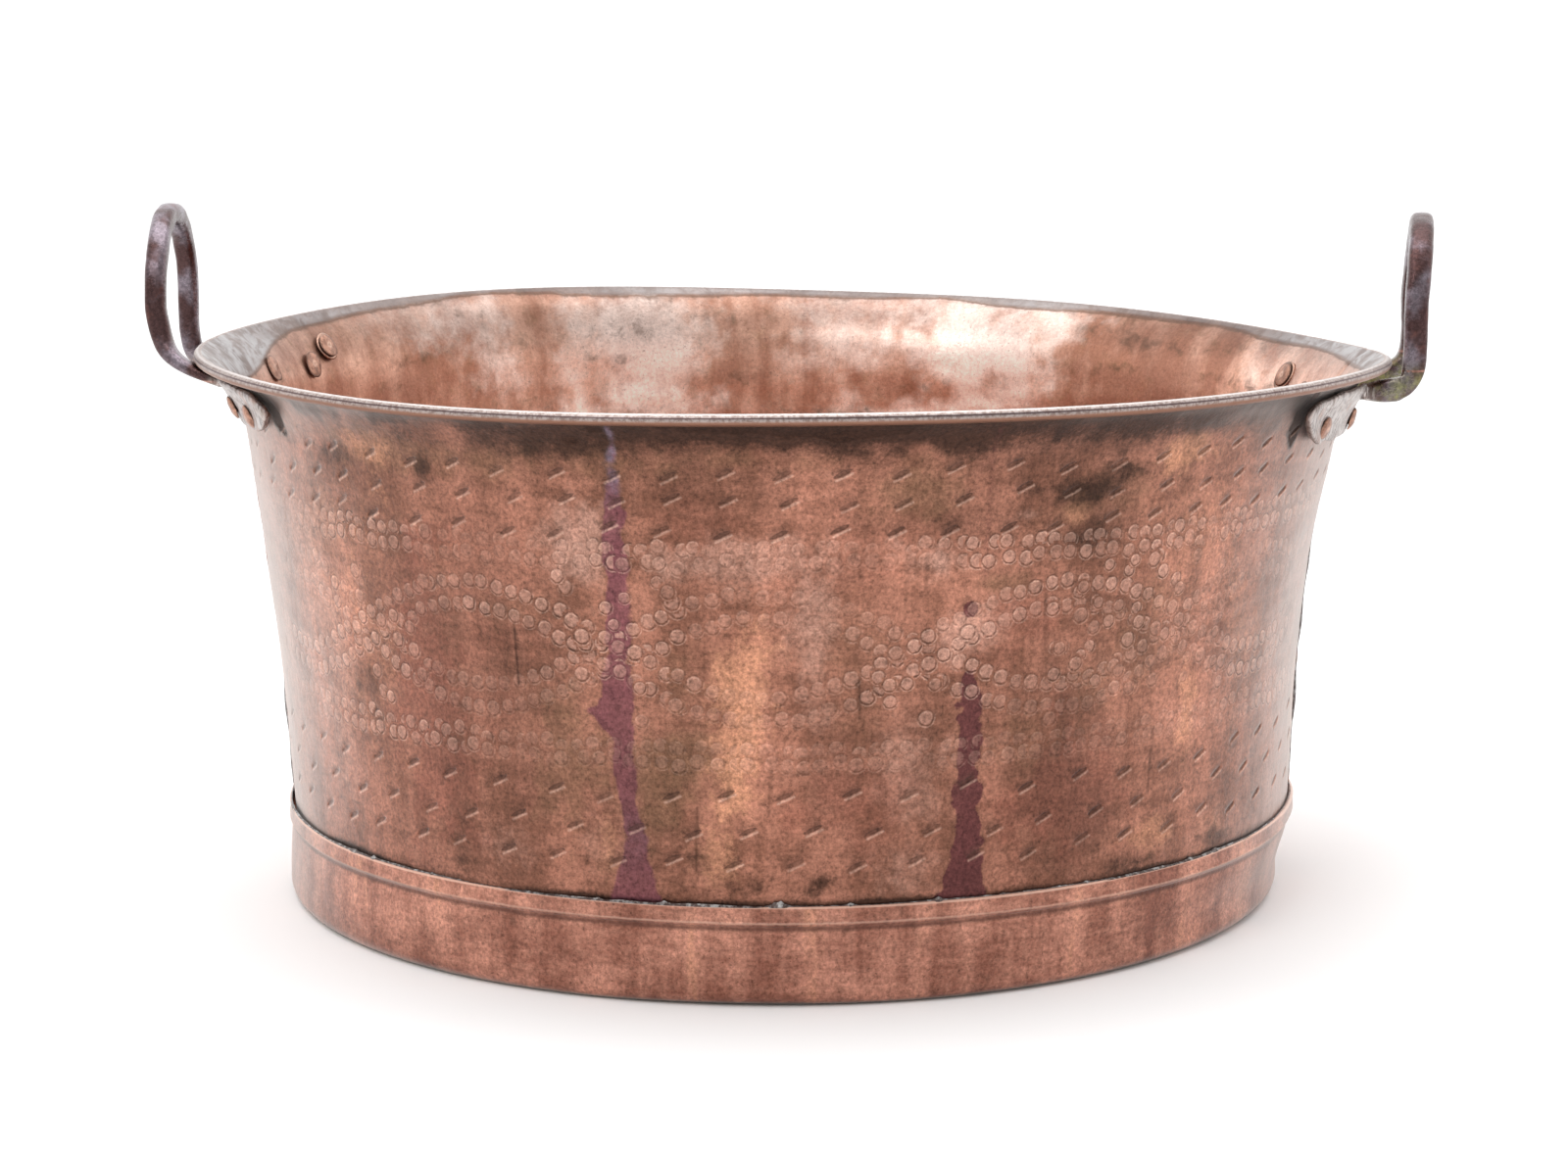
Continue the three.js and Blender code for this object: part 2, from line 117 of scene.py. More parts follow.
def soft_noise(seed, shape, row_scale, column_scale):
    """Smooth noise of unit deviation that wraps round both ways; the scales are in cells."""
    white = np.random.default_rng(seed).standard_normal(shape)
    rows = np.fft.fftfreq(shape[0])[:, None] * row_scale
    columns = np.fft.fftfreq(shape[1])[None, :] * column_scale
    spectrum = np.fft.fft2(white) * np.exp(-2 * math.pi**2 * (rows**2 + columns**2))
    field = np.fft.ifft2(spectrum).real
    return field / field.std()


def catmull_rom(points, samples):
    """Points along the uniform Catmull-Rom spline through points, samples to each stretch."""
    points = np.asarray(points, float)
    padded = np.vstack([points[0], points, points[-1]])
    t = np.arange(samples)[:, None] / samples
    stretches = []
    for i in range(len(points) - 1):
        a, b, c, d = padded[i : i + 4]
        bend = (2 * a - 5 * b + 4 * c - d) * t**2 + (3 * b - a - 3 * c + d) * t**3
        stretches.append(0.5 * (2 * b + (c - a) * t + bend))
    return np.vstack([*stretches, points[-1]])


def resampled(path, count):
    """count points at equal steps along a path."""
    along = np.concatenate([[0], np.cumsum(np.linalg.norm(np.diff(path, axis=0), axis=1))])
    at = np.linspace(0, along[-1], count)
    return np.stack([np.interp(at, along, path[:, k]) for k in range(path.shape[1])], axis=1)


def left_normals(path):
    """Unit normals of a (radius, height) path that point away from the axis as the path rises."""
    tangent = np.gradient(path, axis=0)
    tangent /= np.linalg.norm(tangent, axis=1)[:, None]
    return np.stack([tangent[:, 1], -tangent[:, 0]], axis=1)


def round_points(radius, degrees, height):
    """Cartesian points from arrays of radius, angle and height."""
    angle = np.radians(degrees)
    return np.stack(np.broadcast_arrays(radius * np.cos(angle), radius * np.sin(angle), height), -1)


# The rim's waves, knocked in by use: (waves round the rim, cosine and sine part in mm).
RIM_UP = ((1, -5.7, -0.3), (2, -1.4, -3.0), (3, 0, -0.8), (4, -0.4, 0), (5, 0, -1.0))
RIM_OUT = ((0, 0.9, 0), (1, 0.8, 0), (2, 0.95, -0.6), (3, 1.0, -0.55))
RIM_TIP = (-3, 12, 2.5)  # angle, width in degrees and reach in mm of the flange's bent-out stretch
WARP_FROM, WARP_TO = 195, 305  # heights between which the waves set in
LOOP_FROM, LOOP_TO = 352, 364  # radii between which the handles' loops stop moving outward


def waves(angle, orders):
    return sum(c * np.cos(k * angle) + s * np.sin(k * angle) for k, c, s in orders)


def rim_warp(points):
    """points with the upper bowl knocked out of true; the handles' loops only move up and down."""
    angle = np.arctan2(points[..., 1], points[..., 0])
    at, width, tip = RIM_TIP
    loop = smoothstep(LOOP_FROM, LOOP_TO, np.hypot(points[..., 0], points[..., 1]))
    out = (waves(angle, RIM_OUT) + tip * bell(np.degrees(angle) - at, width)) * (1 - loop)
    moved = np.stack([out * np.cos(angle), out * np.sin(angle), waves(angle, RIM_UP)], -1)
    return points + smoothstep(WARP_FROM, WARP_TO, points[..., 2])[..., None] * moved


def make_piece(
    name, points, faces, materials, replaced, face_material=None, masks=None, corners=None
):
    """A smooth-shaded mesh piece from points in millimetres, standing for the replaced CAD nodes."""
    mesh = bpy.data.meshes.new(name)
    mesh.from_pydata((np.asarray(points, float) * MM).tolist(), [], faces)
    mesh.validate()
    for material in materials:
        mesh.materials.append(material)
    if face_material is not None:
        mesh.polygons.foreach_set("material_index", np.asarray(face_material, np.int32))
    mesh.polygons.foreach_set("use_smooth", np.ones(len(mesh.polygons), bool))
    for mask_name, values in (masks or {}).items():
        values = np.asarray(values, np.float32)
        if values.ndim == 1:
            mesh.attributes.new(mask_name, "FLOAT", "POINT").data.foreach_set("value", values)
        elif values.shape[1] == 3:
            layer = mesh.attributes.new(mask_name, "FLOAT_VECTOR", "POINT")
            layer.data.foreach_set("vector", values.ravel())
        else:
            layer = mesh.attributes.new(mask_name, "FLOAT_COLOR", "POINT")
            layer.data.foreach_set("color", values.ravel())
    for mask_name, values in (corners or {}).items():
        layer = mesh.attributes.new(mask_name, "FLOAT_VECTOR", "CORNER")
        layer.data.foreach_set("vector", np.asarray(values, np.float32).ravel())
    piece = bpy.data.objects.new(name, mesh)
    bpy.context.scene.collection.objects.link(piece)
    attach(piece, "root")
    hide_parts(*replaced)
    return piece


def grid_faces(rows, columns, first=0, wrap=False):
    """Quads of a grid of rows by columns points, numbered row by row from first, as an array."""
    index = first + np.arange(rows * columns).reshape(rows, columns)
    right = np.roll(index, -1, axis=1) if wrap else index[:, 1:]
    left = index if wrap else index[:, :-1]
    corners = (left[:-1], right[:-1], right[1:], left[1:])
    return np.stack([c.ravel() for c in corners], axis=1)


def ring_faces(rings, columns):
    """Quads of a grid that closes on itself both ways."""
    last = (rings - 1) * columns + np.arange(columns)
    first = np.arange(columns)
    closing = np.stack([last, np.roll(last, -1), np.roll(first, -1), first], 1)
    return np.concatenate([grid_faces(rings, columns, wrap=True), closing])


def stitch(fine, coarse):
    """Triangles that join a closed loop of 2n points to one of n points beside every second one."""
    a, b = fine[0::2], fine[1::2]
    c = np.roll(a, -1)
    low, high = coarse, np.roll(coarse, -1)
    return np.concatenate([np.stack(t, axis=1) for t in ((b, a, low), (b, low, high), (c, b, high))])


# ---- the wall's profile ----


def wall_path():
    """Middle of the wall sheet from foot to rolled edge, ROWS + ROLL_ROWS + 1 points."""
    start = math.radians(ROLL_START)
    entry = (WIRE_R + ROLL_RADIUS * math.cos(start), WIRE_Z + ROLL_RADIUS * math.sin(start))
    rise = resampled(catmull_rom((*WALL_POINTS, entry), 60), ROWS + 1)
    angle = start - np.radians(ROLL_TURN) * np.arange(1, ROLL_ROWS + 1) / ROLL_ROWS
    roll = np.stack([WIRE_R + ROLL_RADIUS * np.cos(angle), WIRE_Z + ROLL_RADIUS * np.sin(angle)], axis=1)
    return np.vstack([rise, roll])


PATH = wall_path()
NORMALS = left_normals(PATH)
ROW_HEIGHT = PATH[:, 1]
ANGLE = np.arange(COLUMNS) * DEGREES
ROW_STEP = (ROW_HEIGHT[ROWS] - ROW_HEIGHT[0]) / ROWS
ON_WALL = (1 - smoothstep(ROWS - 8, ROWS, np.arange(len(PATH))))[:, None]


def wall_at(height):
    """Radius of the middle of the wall sheet at a height, and its outward normal there."""
    row = np.interp(height, ROW_HEIGHT[: ROWS + 1], np.arange(ROWS + 1))
    radius = np.interp(row, np.arange(ROWS + 1), PATH[: ROWS + 1, 0])
    normal = np.array([np.interp(row, np.arange(ROWS + 1), NORMALS[: ROWS + 1, k]) for k in range(2)])
    return radius, normal / np.linalg.norm(normal)


# ---- punched ornament ----

RING_RADIUS = 3.9
RING_PITCH = 9.2
BORDER_ROWS = (248.5, 240.8, 141, 133.6)
RING_REACH = 1.45  # radii from a ring's middle to which its line is drawn
DASH_REACH = 5
WAVE_MIDDLE = 191
WAVE_RISE = 28
WAVE_PERIOD = 60
WAVE_LINE = 6.5  # half the distance between a strand's two lines of rings
EYE = FRONT - 2.5  # middle of one of the waves' eyes
DASH_ROWS = (  # (height, pitch in degrees, shift as a share of the pitch)
    (288, 5.4, 0.4), (273, 5.4, 0.55), (257, 5.4, 0.35),
    (116, 6.1, 0.2), (97, 6.1, 0.6), (79, 6.1, 0.3),
)
DASH_LENGTH = 11.5
DASH_SLOPE = 25
BUSY_FROM, BUSY_TO = -64, -38  # stretch that is crowded with stray rings
STRAY_FROM, STRAY_TO = 150, 234
STRAY_TRIES = 900
GROOVE_DEPTH = 0.20
HOLLOW_DEPTH = 0.03
CUT_DEPTH = 0.7
BURR_HEIGHT = 0.2
RAISED_INSIDE = 0.45  # height of the bumps that the upper rings raise on the inner face


def mean_radius(height):
    return np.interp(height, ROW_HEIGHT[:ROWS], PATH[:ROWS, 0])


def border_rings(rng):
    rings = []
    for height in BORDER_ROWS:
        count = int(2 * math.pi * mean_radius(height) / RING_PITCH)
        for i in range(count):
            angle = 360 * (i + rng.uniform(-0.28, 0.28)) / count
            rings.append((angle, height + rng.normal(0, 1.1), RING_RADIUS * rng.uniform(0.92, 1.08)))
    return rings


def wave_rings(rng):
    """Rings along two crossing waves, each of two lines."""
    rings = []
    middle_radius = mean_radius(WAVE_MIDDLE)
    for phase in (0, 180):
        for side in (-WAVE_LINE, WAVE_LINE):
            at = 0.0
            while at < 360:
                turn = 2 * math.pi * (at - EYE) / WAVE_PERIOD + math.radians(phase)
                steepest = WAVE_RISE * 2 * math.pi / WAVE_PERIOD / math.radians(middle_radius)
                slope = -steepest * math.sin(turn)
                height = WAVE_MIDDLE + WAVE_RISE * math.cos(turn) + side * math.hypot(1, slope)
                place = (at + rng.normal(0, 0.12), height + rng.normal(0, 0.8))
                rings.append((*place, RING_RADIUS * rng.uniform(0.95, 1.1)))
                at += math.degrees(RING_PITCH / middle_radius) / math.hypot(1, slope)
    return rings


def stray_rings(rng):
    """Loose rings between the waves and the borders, thickest where the waves cross."""
    rings = []
    for _ in range(STRAY_TRIES):
        angle = rng.uniform(-180, 180)
        height = rng.uniform(STRAY_FROM, STRAY_TO)
        from_crossing = (angle - EYE - WAVE_PERIOD / 4) % (WAVE_PERIOD / 2)
        from_crossing = min(from_crossing, WAVE_PERIOD / 2 - from_crossing)
        busy = BUSY_FROM < angle < BUSY_TO
        chance = 0.75 if busy else 0.42 * bell(from_crossing, 6)
        if rng.random() < chance:
            rings.append((angle, height, RING_RADIUS * rng.uniform(0.8, 1.1)))
    return rings


def dashes(rng):
    marks = []
    for height, pitch, shift in DASH_ROWS:
        count = int(360 / pitch)
        for i in range(count):
            angle = 360 * (i + shift + rng.uniform(-0.1, 0.1)) / count
            marks.append((angle, height + rng.normal(0, 1.5), rng.uniform(0.8, 1.15)))
    return marks


def stamp(angle, height, reach):
    """Rows, columns and the sideways and upward distances of the cells within reach of a mark."""
    row = np.interp(height, ROW_HEIGHT[:ROWS], np.arange(ROWS))
    span = int(reach / CELL) + 2
    rows = np.arange(max(int(row) - span, 0), min(int(row) + span + 1, ROWS))
    middle = int(round(angle / DEGREES))
    columns = np.arange(middle - span, middle + span + 1)
    sideways = (columns * DEGREES - angle) * math.radians(mean_radius(height))
    return rows, columns % COLUMNS, sideways[None, :], (ROW_HEIGHT[rows] - height)[:, None]


def lay_mark(layer, cell, near, mark):
    """Writes a mark's (angle, height, size, force) over the faces of a block that it crosses."""
    block = layer[cell]
    block[near] = mark
    layer[cell] = block


def ornament():
    """Outward relief of the marks, the bumps they raise inside, and the marks that cross each face."""
    shape = (len(PATH), COLUMNS)
    relief = np.zeros(shape)
    raised = np.zeros(shape)
    rings = np.zeros((*shape, 4))
    cuts = np.zeros((*shape, 4))
    rng = np.random.default_rng(41)
    wear = smoothstep(-1.3, 0.9, soft_noise(42, shape, 14, 22))
    for angle, height, radius in [*border_rings(rng), *wave_rings(rng), *stray_rings(rng)]:
        rows, columns, x, y = stamp(angle, height, 9)
        cell = np.ix_(rows, columns)
        wear_here = wear[rows[len(rows) // 2], columns[len(columns) // 2]]
        force = rng.uniform(0.55, 1.0) * (0.35 + 0.65 * wear_here)
        distance = np.hypot(x, y)
        groove = bell(distance - radius - 0.5, 0.9)
        hollow = 1 - smoothstep(radius - 1.8, radius, distance)
        relief[cell] = np.minimum(relief[cell], -force * GROOVE_DEPTH * groove)
        relief[cell] -= force * HOLLOW_DEPTH * hollow
        if height > WAVE_MIDDLE + 40:
            raised[cell] = np.maximum(raised[cell], force * bell(distance, 3.2))
        near = np.hypot(x + CELL / 2, y + ROW_STEP / 2) < radius * RING_REACH
        lay_mark(rings, cell, near, (angle, height, radius, force))
    slope = math.radians(DASH_SLOPE)
    for angle, height, force in dashes(rng):
        rows, columns, x, y = stamp(angle, height, 12)
        cell = np.ix_(rows, columns)
        along, across = turned(x, y, slope)
        taper = np.clip(1 - (2 * along / DASH_LENGTH) ** 2, 0, 1)
        cut = force * smoothstep(0, 0.5, taper) * bell(across, 0.5 + 0.7 * taper)
        burr = force * smoothstep(0, 0.5, taper) * bell(across + 2.0, 1.1)
        relief[cell] += BURR_HEIGHT * burr - CUT_DEPTH * cut
        along, across = turned(x + CELL / 2, y + ROW_STEP / 2, slope)
        near = (np.abs(along) < DASH_LENGTH / 2 + 2) & (np.abs(across) < DASH_REACH)
        lay_mark(cuts, cell, near, (angle, height, DASH_LENGTH / 2, force))
    return relief, raised, rings, cuts


def turned(x, y, slope):
    """Distances along and across a line at a slope."""
    return x * math.cos(slope) + y * math.sin(slope), y * math.cos(slope) - x * math.sin(slope)


def corner_places(columns, layer, slope):
    """For every corner of a sheet's faces, its place in the frame of the mark that crosses the face.

    The place is (along, across, force), in sizes of the mark, turned by the mark's slope.
    """
    angle, height, size, force = (layer[:-1, columns[:-1] % COLUMNS, k] for k in range(4))
    places = []
    for up, right in ((0, 0), (0, 1), (1, 1), (1, 0)):
        turn = turn_between((columns[:-1] + right) * DEGREES, angle)
        x = turn * np.radians(mean_radius(np.maximum(height, 1)))
        y = ROW_HEIGHT[up : len(PATH) - 1 + up, None] - height
        along, across = turned(x, y, slope)
        size_or_one = np.where(force > 0, size, 1)
        places.append(np.stack([along / size_or_one, across / size_or_one, force], -1))
    return np.stack(places, 2).reshape(-1, 3)


def dents():
    """Outward displacement of the hammered sheet: broad dents, planishing marks and long ripples."""
    shape = (len(PATH), COLUMNS)
    broad = soft_noise(1, shape, 22, 26) * 0.50
    middling = soft_noise(2, shape, 8, 9) * 0.10
    ripple = soft_noise(3, shape, 2.6, 18) * 0.07
    fine = soft_noise(4, shape, 1.6, 1.6) * 0.03
    band = bell(ROW_HEIGHT - 200, 90)[:, None]
    flange = smoothstep(280, 318, ROW_HEIGHT)[:, None] * soft_noise(5, shape, 12, 14) * 0.35
    return broad + middling + ripple * (0.5 + band) + fine + flange


# ---- stains on the wall, with painted light and shade among them: (angle, height, half-width in degrees, half-height in mm, strength) ----

# Soot spots; the last two on this list are painted shade, the black gaps under the lifted ends of the
# front feet.
SOOT_AND_SHADE_SPOTS = (
    (-95, 318, 34, 14, 1.0), (-132, 316, 16, 12, 0.75), (-55, 314, 16, 14, 0.75),
    (-94, 308, 3.5, 10, 0.8), (-127, 287, 1.3, 12, 0.6), (-62, 275, 5, 14, 0.65),
    (-56, 282, 5, 9, 0.6), (-60, 250, 4, 10, 0.5), (-42, 305, 8, 9, 0.6),
    (-140, 283, 5, 10, 0.45), (-75, 262, 3, 8, 0.4), (-100, 80, 2.5, 6, 0.4),
    (-87, 68, 2.0, 8, 0.75), (-93, 66, 3, 6, 0.5), (-126, 68, 1.2, 3, 0.4), (-38, 62, 3, 6, 0.6),
    (-52, 62, 6, 6, 0.5), (-45, 108, 3, 16, 0.35), (-139, 160, 3, 12, 0.35),
    (-33, 205, 3, 14, 0.3), (-30.8, 298, 1.5, 16, 2.4), (-150.4, 300, 1.5, 14, 2.4),
)
OLIVE = (
    (-120, 294, 26, 12, 0.6), (-78, 278, 5, 16, 0.7), (-103, 115, 4, 42, 0.8),
    (-113, 130, 4, 48, 0.7), (-101, 175, 3, 24, 0.5), (-70, 228, 3, 7, 0.7),
    (-66, 140, 5, 20, 0.45), (-58, 165, 5, 24, 0.5), (-84, 190, 6, 40, 0.3),
    (-118, 212, 5, 14, 0.4), (-60, 268, 7, 20, 0.5), (-95, 295, 9, 7, 0.5),
    (-52, 190, 6, 36, 0.4), (-144, 250, 7, 40, 0.35),
)
GOLD = (
    (-95.5, 128, 2.6, 30, 1.0), (-94.5, 168, 3.2, 40, 0.8), (-97, 80, 2.6, 20, 0.65),
    (-108.5, 86, 1.4, 22, 0.6), (-45, 135, 1.8, 30, 0.65), (-49, 290, 5, 12, 0.75),
    (-61.5, 264, 1.6, 9, 0.7), (-49, 76, 5, 12, 0.55), (-135, 288, 6, 14, 0.65),
    (-133, 268, 3, 14, 0.45), (-38, 70, 4, 20, 0.45), (-35, 180, 6, 50, 0.35),
    (-140, 200, 7, 70, 0.35), (-44, 240, 8, 40, 0.3),
)
PALE = (
    (-111, 248, 4.5, 22, 0.75), (-88, 205, 2.4, 50, 0.55), (-76, 238, 3.2, 14, 0.75),
    (-73, 205, 3.5, 16, 0.7), (-78, 130, 3.5, 30, 0.4), (-77, 75, 5, 16, 0.45),
    (-98, 240, 9, 10, 0.5), (-148, 200, 8, 90, 0.45), (-110, 88, 2, 20, 0.3),
    (-92, 240, 8, 14, 0.45), (-67, 262, 3, 5, 0.6), (-34, 60, 12, 30, 0.3),
    (-120, 82, 3, 14, 0.3),
)
RED = (
    (-129, 150, 6, 80, 0.85), (-122, 200, 7, 60, 0.4), (-84, 112, 6, 26, 0.6),
    (-84, 250, 8, 30, 0.3), (-68, 205, 5, 22, 0.5), (-61, 110, 9, 46, 0.75),
    (-99, 262, 10, 12, 0.35), (-115, 110, 6, 34, 0.4),
)
# Lighter upright bands: patina, and painted reflection of the studio's light.
LIGHTER_PATINA_AND_SHEEN = (
    (-93, 150, 4.5, 120, 0.35), (-74, 215, 4, 30, 0.35), (-45, 170, 7, 110, 0.3),
    (-112, 230, 6, 40, 0.2), (-80, 240, 6, 25, 0.2), (-52, 235, 5, 30, 0.2),
    (-145, 180, 8, 110, 0.3), (-88, 262, 3, 30, 0.25),
)
# Darker upright bands: patina, and painted shade where less light is reflected.
DARKER_PATINA_AND_SHADE = (
    (-119, 190, 8, 110, 0.3), (-60, 110, 6, 60, 0.5), (-60, 260, 5, 20, 0.3),
    (-127, 150, 5, 110, 0.25), (-106, 110, 5, 60, 0.25), (-86, 130, 4, 35, 0.2),
    (-72, 262, 5, 15, 0.3), (-80, 145, 5, 25, 0.15), (-100, 285, 9, 20, 0.35),
    (-66, 290, 9, 18, 0.35),
)
# Each stain's spots, its seed, and its strength on the parts of the wall that face away.
STAINS = ((OLIVE, 80, 0.6), (GOLD, 84, 0.6), (PALE, 88, 0.5), (RED, 92, 0.7))
# Fine upright cracks: (angle, height, half-length).
HAIRLINES = (
    (-92.2, 118, 14), (-83.5, 168, 12), (-99.4, 92, 20), (-96.3, 120, 9), (-77, 232, 14),
    (-118, 186, 18), (-64.6, 205, 16), (-50, 118, 20),
)
# Painted highlights inside the bowl, where the studio's light is reflected.
INSIDE_HIGHLIGHTS = (
    (107, 285, 9, 60, 0.9), (67, 288, 13, 60, 0.8), (130, 292, 6, 34, 0.6),
    (115, 300, 5, 20, 0.4), (84, 292, 12, 40, 0.35),
)
# Darker places inside: dark-brown stains, and painted shade between the painted highlights.
INSIDE_STAINS_AND_SHADE = (
    (38, 285, 12, 70, 0.9), (141, 268, 8, 16, 0.7), (158, 276, 5, 14, 0.45),
    (112, 270, 7, 9, 0.3), (94, 290, 4, 34, 0.45), (122, 290, 4, 34, 0.45),
    (150, 285, 10, 50, 0.35), (47, 270, 9, 50, 0.5), (85, 262, 30, 14, 0.4),
    (130, 255, 22, 14, 0.35),
)


def patches(spots, seed):
    """Soft-edged spots with ragged outlines, each up to its own strength."""
    shape = (len(PATH), COLUMNS)
    total = np.zeros(shape)
    rough = (
        soft_noise(seed, shape, 7, 6) * 0.20
        + soft_noise(seed + 1, shape, 2.4, 2.0) * 0.14
        + soft_noise(seed + 2, shape, 0.9, 0.9) * 0.08
    )
    for angle, height, half_width, half_height, strength in spots:
        x = turn_between(ANGLE, angle)[None, :] / half_width
        y = (ROW_HEIGHT[:, None] - height) / half_height
        distance = np.sqrt(x**2 + y**2)
        total = np.maximum(total, strength * (1 - smoothstep(0.1, 1.5, distance + rough)))
    return total


def hairlines():
    """The fine upright cracks, 0 to 1."""
    shape = (len(PATH), COLUMNS)
    total = np.zeros(shape)
    wander = soft_noise(96, (len(PATH), 1), 12, 1) * 0.12
    for angle, height, half_length in HAIRLINES:
        inside = 1 - smoothstep(half_length - 3, half_length, np.abs(ROW_HEIGHT - height))[:, None]
        total = np.maximum(total, inside * bell(turn_between(ANGLE, angle)[None, :] + wander, 0.16))
    return total


def elsewhere(seed, amount):
    """The same kind of stain strewn over the parts of the wall that face away from the front."""
    shape = (len(PATH), COLUMNS)
    away = smoothstep(62, 78, np.abs(turn_between(ANGLE, FRONT)))[None, :]
    return away * amount * smoothstep(0.3, 1.5, soft_noise(seed, shape, 22, 16))


def streak(angle, knots, seed, raggedness):
    """A run of liquid down the wall: knots are (height, left edge, right edge) in degrees from angle."""
    shape = (len(PATH), COLUMNS)
    heights, left, right = (np.array(k, float) for k in zip(*sorted(knots)))
    offset = turn_between(ANGLE, angle)[None, :]
    wander = soft_noise(seed, shape, 4, 4) * raggedness
    wander += soft_noise(seed + 1, shape, 1.3, 1.3) * raggedness * 0.6
    low = np.interp(ROW_HEIGHT, heights, left)[:, None] + wander
    high = np.interp(ROW_HEIGHT, heights, right)[:, None] + np.roll(wander, 37, axis=0)
    soft = 0.34
    inside = smoothstep(-soft, soft, offset - low) * smoothstep(-soft, soft, high - offset)
    present = (ROW_HEIGHT > heights[0] - 2) & (ROW_HEIGHT < heights[-1])
    return inside * present[:, None]


# Edges of the runs: (height, left edge, right edge), in degrees from where the run comes down.
PURPLE_RUN = (
    (56, -2.6, 3.8), (66, -1.6, 2.8), (75, -0.6, 2.2), (92, 0.4, 2.2), (105, -0.4, 1.6),
    (122, -0.9, 1.1), (145, -1.0, 1.3), (152, -2.4, 1.3), (160, -3.4, 1.2), (168, -2.0, 1.3),
    (190, -1.3, 1.3), (215, -1.0, 1.4), (232, -0.4, 1.5), (255, -1.2, 1.4), (268, -1.0, 1.2),
    (285, 0.3, 1.1), (300, 0.7, 1.1), (321, 0.5, 1.3),
)
MAROON_RUN = (
    (56, -4.2, 2.4), (66, -3.2, 1.9), (76, -2.4, 1.8), (84, -1.6, 1.9), (95, -1.0, 2.2),
    (104, -0.8, 1.3), (120, -1.0, 1.2), (140, -0.9, 1.0), (160, -0.8, 1.2), (174, -0.5, 0.9),
    (182, 0.1, 0.5),
)


PURPLE_AT = -106.8
MAROON_AT = -72.2


def run_masks():
    """The two dark runs of liquid and the blue-grey bloom on the first one."""
    purple = streak(PURPLE_AT, PURPLE_RUN, 60, 0.20)
    maroon = streak(MAROON_AT, MAROON_RUN, 64, 0.34)
    drop = bell(turn_between(ANGLE, MAROON_AT - 0.2)[None, :], 0.9) * bell(ROW_HEIGHT - 214, 5)[:, None]
    maroon = np.maximum(maroon, smoothstep(0.35, 0.6, drop))
    thread = bell(turn_between(ANGLE, MAROON_AT + 1.2)[None, :], 0.5)
    maroon = np.maximum(maroon, 0.35 * thread * smoothstep(214, 236, ROW_HEIGHT)[:, None])
    high = np.clip((ROW_HEIGHT - 268) / 26, 0, 1)[:, None]
    low = bell(ROW_HEIGHT - 92, 16)[:, None] * 0.15
    return purple, maroon, purple * np.clip(high + low, 0, 1)


def soot_and_shade_mask():
    """Soot in spots and along the wall's foot, a dark band of soot and painted shade under the rim, and
    painted shade in the gaps under the front feet's lifted ends.
    """
    shape = (len(PATH), COLUMNS)
    facing = bell(turn_between(ANGLE, FRONT)[None, :], 62)
    ragged = 2.6 * soft_noise(74, shape, 4, 3) + 2.6 * soft_noise(76, shape, 10, 12)
    # A dark band under the rim: soot and painted shade, stronger towards the front.
    under_rim_soot_and_shade = smoothstep(284, 315, ROW_HEIGHT[:, None] + ragged)
    under_rim_soot_and_shade = under_rim_soot_and_shade * (0.85 + 0.2 * soft_noise(73, shape, 6, 12))
    foot = bell(ROW_HEIGHT - 56, 3.2)[:, None] * (0.7 + 0.2 * soft_noise(75, shape, 6, 12))
    soot_and_shade = np.maximum(patches(SOOT_AND_SHADE_SPOTS, 70), elsewhere(71, 0.25))
    soot_and_shade = np.maximum(soot_and_shade, under_rim_soot_and_shade * (0.45 + 0.55 * facing))
    return np.clip(np.maximum(soot_and_shade, foot), 0, 1)


def flange_mask():
    """The greyed flange inside the rolled edge, widest beside the handles."""
    left_end = bell(turn_between(ANGLE, 180), 20)[None, :]
    right_end = bell(turn_between(ANGLE, 0), 18)[None, :]
    width = 4.5 + 21 * left_end + 7 * right_end + 1.2 * soft_noise(116, (1, COLUMNS), 1, 20)
    from_roll = ROWS - np.arange(len(PATH))[:, None]
    ragged = 0.10 * soft_noise(115, (len(PATH), COLUMNS), 3, 20)
    flange = 1 - smoothstep(width - 2.5, width + 2.5, from_roll) + ragged
    return np.clip(flange * (0.5 + 0.5 * np.maximum(left_end, right_end)), 0, 1)


FAR_FROM_MARKS = (9.0, 9.0, 0.0)  # place in a mark's frame of corners that no mark crosses


def unrolled(first, last):
    """Arc length and height of the cells, in metres, for materials that follow the sheet."""
    angle = np.arange(first, last + 1) * DEGREES
    arc = np.radians(angle)[None, :] * MEAN_RADIUS * MM
    height = ROW_HEIGHT[:, None] * MM
    return np.stack(np.broadcast_arrays(arc, height, 0.0), -1)


